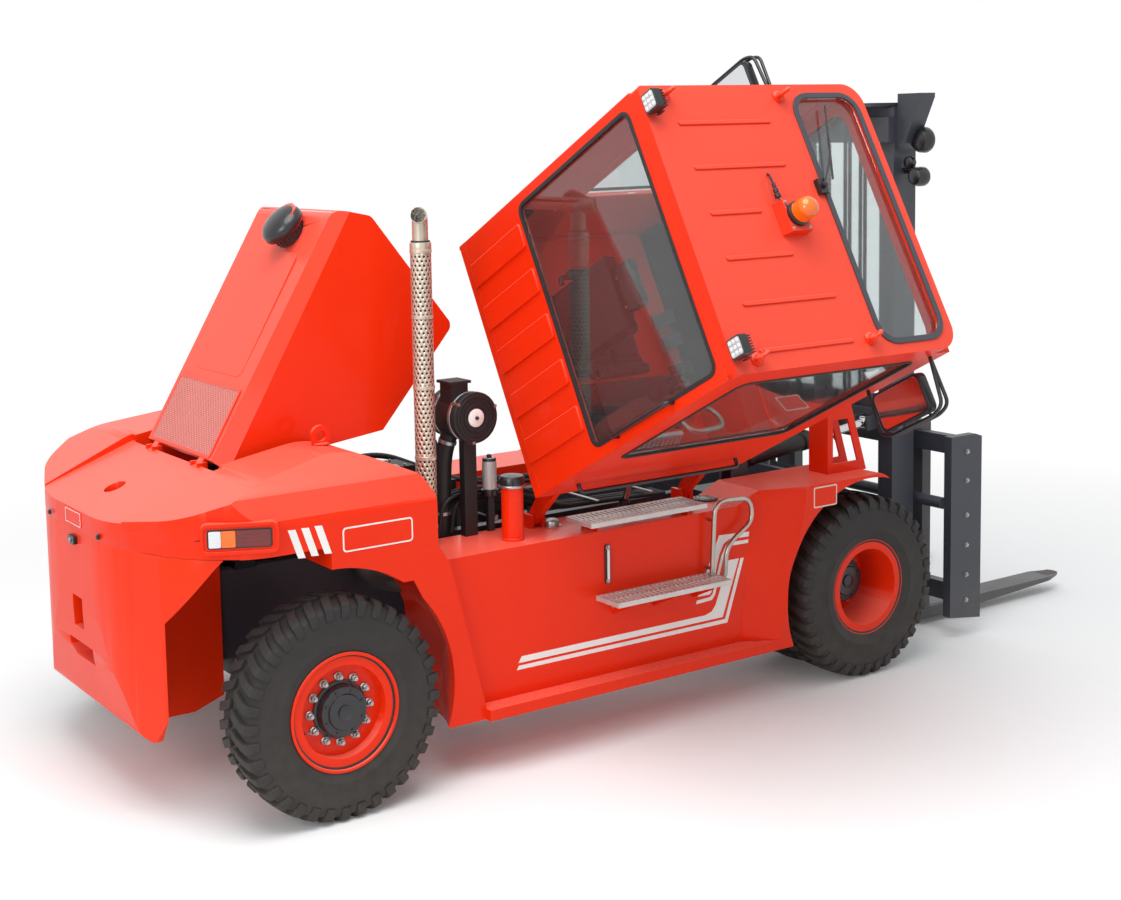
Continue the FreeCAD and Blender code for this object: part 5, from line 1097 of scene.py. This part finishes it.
piece("radiator_and_fan", bm, "chassis", [hub_black, aluminium], 0.8)

# %% Hoses of the bay
bm = bmesh.new()
hoses = random.Random(16)
for k in range(9):
    y = -530 - 16 * k
    z = 1330 + 30 * (k % 3)
    tube(bm, [(950 + 30 * (k % 4), y, 1190), (980 + 30 * (k % 4), y, z),
              (1220, y + hoses.uniform(-6, 6), z + 20), (1400 + 20 * k, y - 10, z - 20),
              (1750, y, 1220 + 10 * (k % 3)), (2550, y, 1210)], 11 + 3 * (k % 2), 100, 10)
for x in (1280, 1620, 2000, 2400):
    block(bm, x - 12, -720, 1245, x + 12, -420, 1252, 1)
for k in range(4):
    turned(bm, [(18, 0), (18, 30), (15, 34)], (1350 + 100 * k, -620 + 50 * (k % 2), 1210), "z", 6, 1)
slab(bm, [(1320, 1190), (1620, 1190), (1620, 1330), (1360, 1330)], "y", -550, -400)
tube(bm, [(1000, 550, 1100), (1000, 550, 1420), (1300, 550, 1420), (1800, 450, 1200), (2900, 300, 1150)],
     18, 120)
tube(bm, [(900, 600, 1100), (920, 600, 1360), (1300, 600, 1360), (1900, 400, 1180), (2900, 240, 1120)], 14,
     120)
for x, r in ((1180, 50), (990, 45)):
    tube(bm, [(x, -620, 1190), (x, -620, 1500), (x + 20, -600, 1620), (x - 20, -580, 1720)], 16, 80)
piece("bay_hoses", bm, "chassis", [hose_rubber, zinc], 0)

# %% [markdown]
# The mast. Leaf chains run over sheaves on the inner head, hoses follow them over their own pulleys,
# and round lamps look forward from brackets on the rails. What hangs from the inner mast rides on
# it, so nothing is left behind when the mast lifts. Chains are real links: pins with side plates.

# %% How a leaf chain is made
LINK = 32


def leaf_chain(bm, x, y, low, high):
    """A straight run of leaf chain, every second leaf set half a link on."""
    for k in range(int((high - low) / LINK)):
        z = low + LINK * k
        for j, dy in enumerate((-18, -9, 0, 9, 18)):
            z0 = z + j % 2 * LINK / 2
            plate(bm, x - 11, z0, x + 11, z0 + 30, 10, "y", y + dy - 3.5, y + dy + 3.5, steps=2)
        bar(bm, (x, y - 24, z + 23), (x, y + 24, z + 23), 5, 8)


# %% Chains over their sheaves
INNER_X, HEAD_Z = 4360, 3400
bm = bmesh.new()
for sign in (-1, 1):
    y = sign * 140
    turned(bm, [(30, -35), (75, -30), (75, -26), (62, -24), (62, 24), (75, 26), (75, 30),
                (30, 35)], (INNER_X, y, HEAD_Z), "y", 36, 1)
    bar(bm, (INNER_X, y - 50, HEAD_Z), (INNER_X, y + 50, HEAD_Z), 20, 16, 1)
    for dy in (-45, 37):
        slab(bm, [(INNER_X - 30, HEAD_Z - 30), (INNER_X + 30, HEAD_Z - 30), (INNER_X + 45, 3490),
                  (INNER_X - 45, 3490)], "y", y + dy, y + dy + 8, 1)
    leaf_chain(bm, INNER_X + 66, y, 1460, HEAD_Z)
    leaf_chain(bm, INNER_X - 66, y, 2160, HEAD_Z)
piece("lift_chains", bm, "inner_mast", [cast_iron, mast_grey], 0.8)

# %% Mast hoses
bm = bmesh.new()
for sign in (-1, 1):
    for k in range(2):
        y = sign * (440 + 40 * k)
        tube(bm, [(4280, y, 1600), (4280, y, 3300), (4300, y, 3440), (4380, y, 3440), (4420, y, 3300),
                  (4420, y, 1500)], 12.5, 60, 10)
        turned(bm, [(20, -14), (70, -14), (58, -6), (58, 6), (70, 14), (20, 14)],
               (4350, y, 3375), "y", 28, 1)
piece("mast_hoses", bm, "inner_mast", [hose_rubber, mast_grey], 0)

# %% Mast bolts and lift cylinders
bm = bmesh.new()
for sign in (-1, 1):
    for z in (310, 1455, 3340):
        for y in (620, 550):
            bolt(bm, (4340, sign * y, z), "x", 14, 0, -1)
    tube(bm, [(4225, sign * 360, 260), (4200, sign * 450, 260), (4180, sign * 500, 400),
              (4180, sign * 500, 1300), (4200, sign * 300, 1400)], 14, 80, 10, 1)
    for z in (600, 1100, 1700):
        turned(bm, band(61, 66, z, 12), (4225, sign * 300, 0), "z", 28, 2)
    turned(bm, [(58, 2085), (64, 2090), (64, 2120), (50, 2130), (36, 2132)], (4225, sign * 300, 0), "z", 32,
           2)
piece("mast_bolts_and_pipes", bm, "outer_mast", [zinc, hose_rubber, mast_grey], 0.8)

# %% Mast lamps
for side, sign in SIDES:
    bm = bmesh.new()
    y, z = sign * 905, 3270
    turned(bm, [(30, 0), (62, 12), (80, 40), (83, 75), (78, 85)], (4430, y, z), "x", 36)
    turned(bm, [(76, 78), (73, 84), (50, 92), (20, 96)], (4430, y, z), "x", 36, 1)
    z = 3040
    y = sign * 930
    bar(bm, (4440, sign * 800, z + 30), (4440, y + sign * 50, z + 30), 13, 12)
    turned(bm, [(25, -75), (50, -60), (62, -20), (62, 20), (58, 28)], (4440, y, z), "x")
    turned(bm, [(57, 20), (54, 28), (30, 34), (10, 36)], (4440, y, z), "x", 32, 2)
    turned(bm, [(20, -40), (36, -30), (40, 0), (36, 10)], (4430, y - sign * 70, z + 90), "x", 28)
    turned(bm, [(34, 6), (30, 16), (10, 20)], (4430, y - sign * 70, z + 90), "x", 28, 1)
    block(bm, 4420, min(sign * 800, sign * 970), z + 45, 4450, max(sign * 800, sign * 970), z + 55)
    piece(side + "_mast_lamps", bm, "outer_mast", [hub_black, clear_lens, amber], 1)

# %% [markdown]
# The carriage and forks. Cover plates are bolted on, the fork tube has collars, and the forks get a
# forged heel pad and a bright worn edge at the tip, where paint goes first on a working truck.

# %% Carriage bolts and collars
bm = bmesh.new()
for sign in (-1, 1):
    for z in (250, 420, 620, 820, 1050, 1240):
        bolt(bm, (4790, sign * 1031, z), "y", 11, 0, sign)
    for y in (300, 850):
        turned(bm, band(38.5, 48, y, 20), (4630, 0, 910), "y", 28, 1)
    for z in (310, 1290):
        bolt(bm, (4751, sign * 50, z), "x")
piece("carriage_bolts", bm, "fork_carriage", [zinc, mast_grey], 0.8)

# %% Fork fittings
for side, sign in SIDES:
    bm = bmesh.new()
    y = sign * 600
    plate(bm, 4860, y - 70, 5020, y + 70, 20, "z", 119, 122.5)
    for z in (1200, 1340):
        bolt(bm, (4831, y, z), "x", 14, 1)
    bar(bm, (4790, y, 1398), (4790, y, 1430), 22, 16, 1)
    block(bm, 4775, y - 50, 1427, 4805, y + 50, 1437, 1)
    slab(bm, [(6100, y - 50), (6225, y - 45), (6225, y + 45), (6100, y + 50)], "z", 119, 121.5, 2)
    piece(side + "_fork_fittings", bm, side + "_fork_body", [fork_grey, zinc, cast_iron], 0.8)

# %% Tilt cylinders
for side, sign in SIDES:
    a, b = Vector((3100, sign * 660, 1330)), Vector((4235, sign * 660, 1450))
    bm = bmesh.new()
    axis = across(b - a)
    line = axis[2]
    turned(bm, [(55.5, 560), (62, 565), (62, 625), (50, 635), (42, 640)], a, axis)
    turned(bm, band(55.5, 59, 115, 20, 5), a, axis)
    for p, q in circle(6, 48):
        turned(bm, [(7, 0), (7, 8)], a + line * 634 + axis[0] * p + axis[1] * q, axis, 6, 1)
    for t in (120, 590):
        p = a + line * t
        tube(bm, [p + Vector((0, 0, 50)), p + Vector((0, 0, 85)), p + Vector((-50, -sign * 80, 100)),
                  p + Vector((-120, -sign * 160, 50))], 11, 50, 10, 2)
    piece(side + "_tilt_gland", bm, side + "_tilt_cylinder", [iron_black, zinc, hose_rubber], 0.8)

# %% Steering cylinder
bm = bmesh.new()
for sign in (-1, 1):
    tube(bm, [(100, sign * 250, 580), (140, sign * 450, 580), (140, sign * 660, 570)], 22, 80, 14)
    for dy in (300, 400, 500):
        bolt(bm, (-121, sign * dy, 600), "x", 12, 1, -1)
bar(bm, (110, -240, 580), (110, 240, 580), 45, 28)
for y in (-260, 240):
    bar(bm, (110, y, 580), (110, y + 20, 580), 52, 28)
tube(bm, [(110, -150, 620), (140, -150, 680), (300, -200, 720), (600, -300, 800)], 11, 60, 10, 2)
piece("steering_cylinder", bm, "chassis", [iron_black, zinc, hose_rubber], 1)

# %% [markdown]
# The driver's place. The seat is padded vinyl, so its cushion and back are real soft goods: each
# starts as a rounded pad, is remeshed to small even faces, and a short cloth run with pressure
# swells it, held at its base. Then one subdivision smooths it. Piping and a channel come after,
# because the remesh would erase anything as thin as a seam.

# %% How a pad is made
VOXEL, PRESSURE, CLOTH_FRAMES = 0.011, 4, 20


def settled(made):
    """Make what the modifiers show into the mesh itself."""
    fresh = bpy.data.meshes.new_from_object(made.evaluated_get(bpy.context.evaluated_depsgraph_get()))
    made.modifiers.clear()
    made.data = fresh
    return fresh


def pad(name, low, high, round_by, cap=14):
    """A pad of soft goods between two corners, swelled by a cloth run."""
    bm = bmesh.new()
    block(bm, *low, *high)
    bmesh.ops.bevel(bm, geom=bm.edges[:], offset=round_by / 1000, segments=4, affect="EDGES", profile=0.6)
    mesh = bpy.data.meshes.new(name)
    bmesh.ops.recalc_face_normals(bm, faces=bm.faces)
    bm.to_mesh(mesh)
    bm.free()
    made = placed(name, mesh)
    remesh = made.modifiers.new("remesh", "REMESH")
    remesh.mode, remesh.voxel_size = "VOXEL", VOXEL
    settled(made)
    start = [v.co.copy() for v in made.data.vertices]
    held = made.vertex_groups.new(name="held")
    held.add([k for k, p in enumerate(start) if p.z < (low[2] + 20) / 1000], 1.0, "REPLACE")
    cloth = made.modifiers.new("swell", "CLOTH")
    cloth.settings.use_pressure = True
    cloth.settings.uniform_pressure_force = PRESSURE
    cloth.settings.effector_weights.gravity = 0
    cloth.settings.vertex_group_mass = "held"
    cloth.settings.quality = 6
    for f in range(1, CLOTH_FRAMES + 1):
        bpy.context.scene.frame_set(f)
    for vertex, was in zip(settled(made).vertices, start):
        moved = vertex.co - was
        if moved.length > cap / 1000:
            vertex.co = was + moved * (cap / 1000 / moved.length)
    made.vertex_groups.clear()
    bpy.context.scene.frame_set(1)
    return made


# %% Channels and vinyl
CHANNEL_HALF, CHANNEL_DEEP = 16, 0.011


def finish_pad(made, place, channels=()):
    """Sew the channels, put the pad in its place, and give it its vinyl."""
    for vertex in made.data.vertices:
        p = vertex.co
        for axis, at, face_axis, face_low in channels:
            near = abs(p[axis] * 1000 - at)
            if near < CHANNEL_HALF and p[face_axis] * 1000 > face_low:
                p[face_axis] -= CHANNEL_DEEP * (1 - near / CHANNEL_HALF) ** 0.6
        vertex.co = place @ p
    made.data.materials.clear()
    made.data.materials.append(seat_vinyl)
    made.data.shade_smooth()
    smooth = made.modifiers.new("smooth", "SUBSURF")
    smooth.levels = smooth.render_levels = 1
    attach(made, "cab")
    return made


# %% The driver's seat
cushion = finish_pad(pad("seat_cushion", (1535, -235, 1915), (1990, 235, 2005), 35), CAB,
                     channels=((1, -150, 2, 1970), (1, 150, 2, 1970), (0, 1760, 2, 1970)))
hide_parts("seat")
back = finish_pad(pad("seat_back", (1455, -225, 2030), (1555, 225, 2580), 40), CAB,
                  channels=((1, -140, 0, 1530), (1, 140, 0, 1530), (2, 2300, 0, 1530)))
finish_pad(pad("seat_headrest", (1460, -130, 2600), (1540, 130, 2720), 30, 8), CAB)
for side, sign in SIDES:
    finish_pad(pad(side + "_armrest", (1520, sign * 285 - 30, 2130), (1860, sign * 285 + 30, 2180), 20, 6),
               CAB)
print("cushion faces", len(cushion.data.polygons), "back faces", len(back.data.polygons))

# %% Seat frame
bm = bmesh.new()
plate(bm, 1500, -210, 1970, 210, 30, "z", 1860, 1905)
for k in range(6):
    plate(bm, 1530 + 4 * (k % 2), -190, 1950, 190, 30, "z", 1650 + 34 * k, 1680 + 34 * k, 1)
for sign in (-1, 1):
    bar(bm, (1500, sign * 80, 2560), (1500, sign * 80, 2630), 8, 10, 2)
    tube(bm, [(1500, sign * 245, 2120), (1500, sign * 285, 2120), (1660, sign * 285, 2120)], 16, 30)
    block(bm, 1520, sign * 200 - 20, 1580, 1980, sign * 200 + 20, 1615, 2)
tube(bm, [(1520, -240, 1930), (1560, -150, 2030), (1600, 0, 2045), (1560, 150, 2030), (1520, 240, 1930)], 6,
     60, 8)
plate(bm, 1438, -200, 1452, 200, 6, "z", 2020, 2600)
piece("seat_frame", bm, "cab", [moulded, hose_rubber, zinc], 2, CAB)

# %% Steering wheel
bm = bmesh.new()
wheel_axis = across((-0.42, 0, 0.90))
centre = Vector((2500, 0, 2290))
hoop(bm, centre, wheel_axis, 185, 12.5, 48, 12)
turned(bm, [(50, -50), (55, -10), (45, 5)], centre, wheel_axis, 28)
for p, q in circle(3, 1, math.pi / 2):
    out = wheel_axis[0] * p + wheel_axis[1] * q
    tube(bm, [centre + out * 30 - wheel_axis[2] * 30, centre + out * 100 - wheel_axis[2] * 20,
              centre + out * 182], 11, 50, 10)
turned(bm, [(16, 0), (16, 30), (26, 50), (20, 70)], centre + wheel_axis[0] * 150 + wheel_axis[1] * 100,
       wheel_axis, 20)
bar(bm, (2670, 0, 1950), centre - wheel_axis[2] * 40, 26)

# %% Levers, dash and pedals
for k in range(4):
    y = -270 - 55 * k
    tube(bm, [(2100 + 10 * k, y - 60, 1970), (2080, y - 60, 2100), (2050, y - 60, 2170)], 7, 40, 8, 2)
    turned(bm, [(12, 0), (20, 20), (20, 40), (10, 55)], (2050, y - 60, 2155), "z", 16)
plate(bm, 1620, -580, 2200, -280, 40, "z", 1600, 1980)
for k in range(3):
    turned(bm, [(32, 0), (32, 8), (28, 12)], (2600, -140 + 140 * k, 2285), across((-0.5, 0, 0.86)), 28, 2)
for y in (-180, 0, 140):
    slab(bm, [(2420, 1660), (2520, 1740), (2525, 1730), (2425, 1650)], "y", y - 40, y + 40)
    bar(bm, (2500, y, 1710), (2600, y, 1620), 10, 10)
for y in (-700, 680):
    slab(bm, [(1360, 1600), (1470, 1600), (1470, 2120), (1360, 2120)], "y", y, y + 20, 1)
turned(bm, [(50, 1600), (55, 1610), (55, 1950), (20, 1990)], (1440, 560, 0), "z", 28, 3)
turned(bm, [(18, 1980), (18, 2030), (30, 2035)], (1440, 560, 0), "z", 16)
piece("driver_controls", bm, "cab", [moulded, seat_vinyl, zinc, red_lens], 1.5, CAB)

# %% Cab lining and front wiper
bm = bmesh.new()
plate(bm, 1360, -710, 2770, 710, 30, "z", 1582, 1590)
plate(bm, 1360, -710, 2260, 710, 30, "z", 3325, 3331, 1)
piece("cab_lining", bm, "cab", [hose_rubber, moulded], 1, CAB)
bm = bmesh.new()
tube(bm, [(2800, 100, 2020), (2815, 50, 2060), (2815, -200, 2600)], 7, 40, 8)
tube(bm, [(2812, -160, 2300), (2812, -240, 2860)], 7, 40, 8)
piece("front_wiper", bm, "cab", [hub_black], 0, CAB)

# %% Under the cab
bm = bmesh.new()
for y in (-745, 735):
    block(bm, 1330, y, 1536, 2790, y + 12, 1556)
for x in (1500, 2100, 2650):
    block(bm, x - 30, -700, 1515, x + 30, 700, 1550, 1)
for k, y in enumerate((-300, -240, -180)):
    tube(bm, [(1400, y, 1520), (2100 + 50 * k, y, 1500), (2400 + 50 * k, -100, 1490),
              (2700, 0 + 50 * k, 1530)], 12, 120, 10)
tube(bm, [(1450, -620, 1530), (1600, -620, 1490), (2200, -620, 1490), (2450, -550, 1450),
          (2700, -600, 1520)], 14, 100, 10)
for x, y in ((1420, 600), (2700, 600), (1420, 0), (2700, -100)):
    turned(bm, [(50, 1490), (55, 1500), (55, 1530), (40, 1550)], (x, y, 0), "z", 28)
piece("cab_underside", bm, "cab", [hose_rubber, vermilion], 1, CAB)

# %% Door handle and hinges
bm = bmesh.new()
plate(bm, 2480, 2000, 2600, 2070, 20, "y", 772, 782)
tube(bm, [(2500, 782, 2050), (2500, 805, 2050), (2590, 805, 2050), (2590, 782, 2050)], 8, 15, 10)
for z in (1800, 2450, 3100):
    block(bm, 1715, 765, z - 40, 1780, 775, z + 40, 1)
piece("door_fittings", bm, "cab_door_body", [hub_black, vermilion], 1.2, CAB)
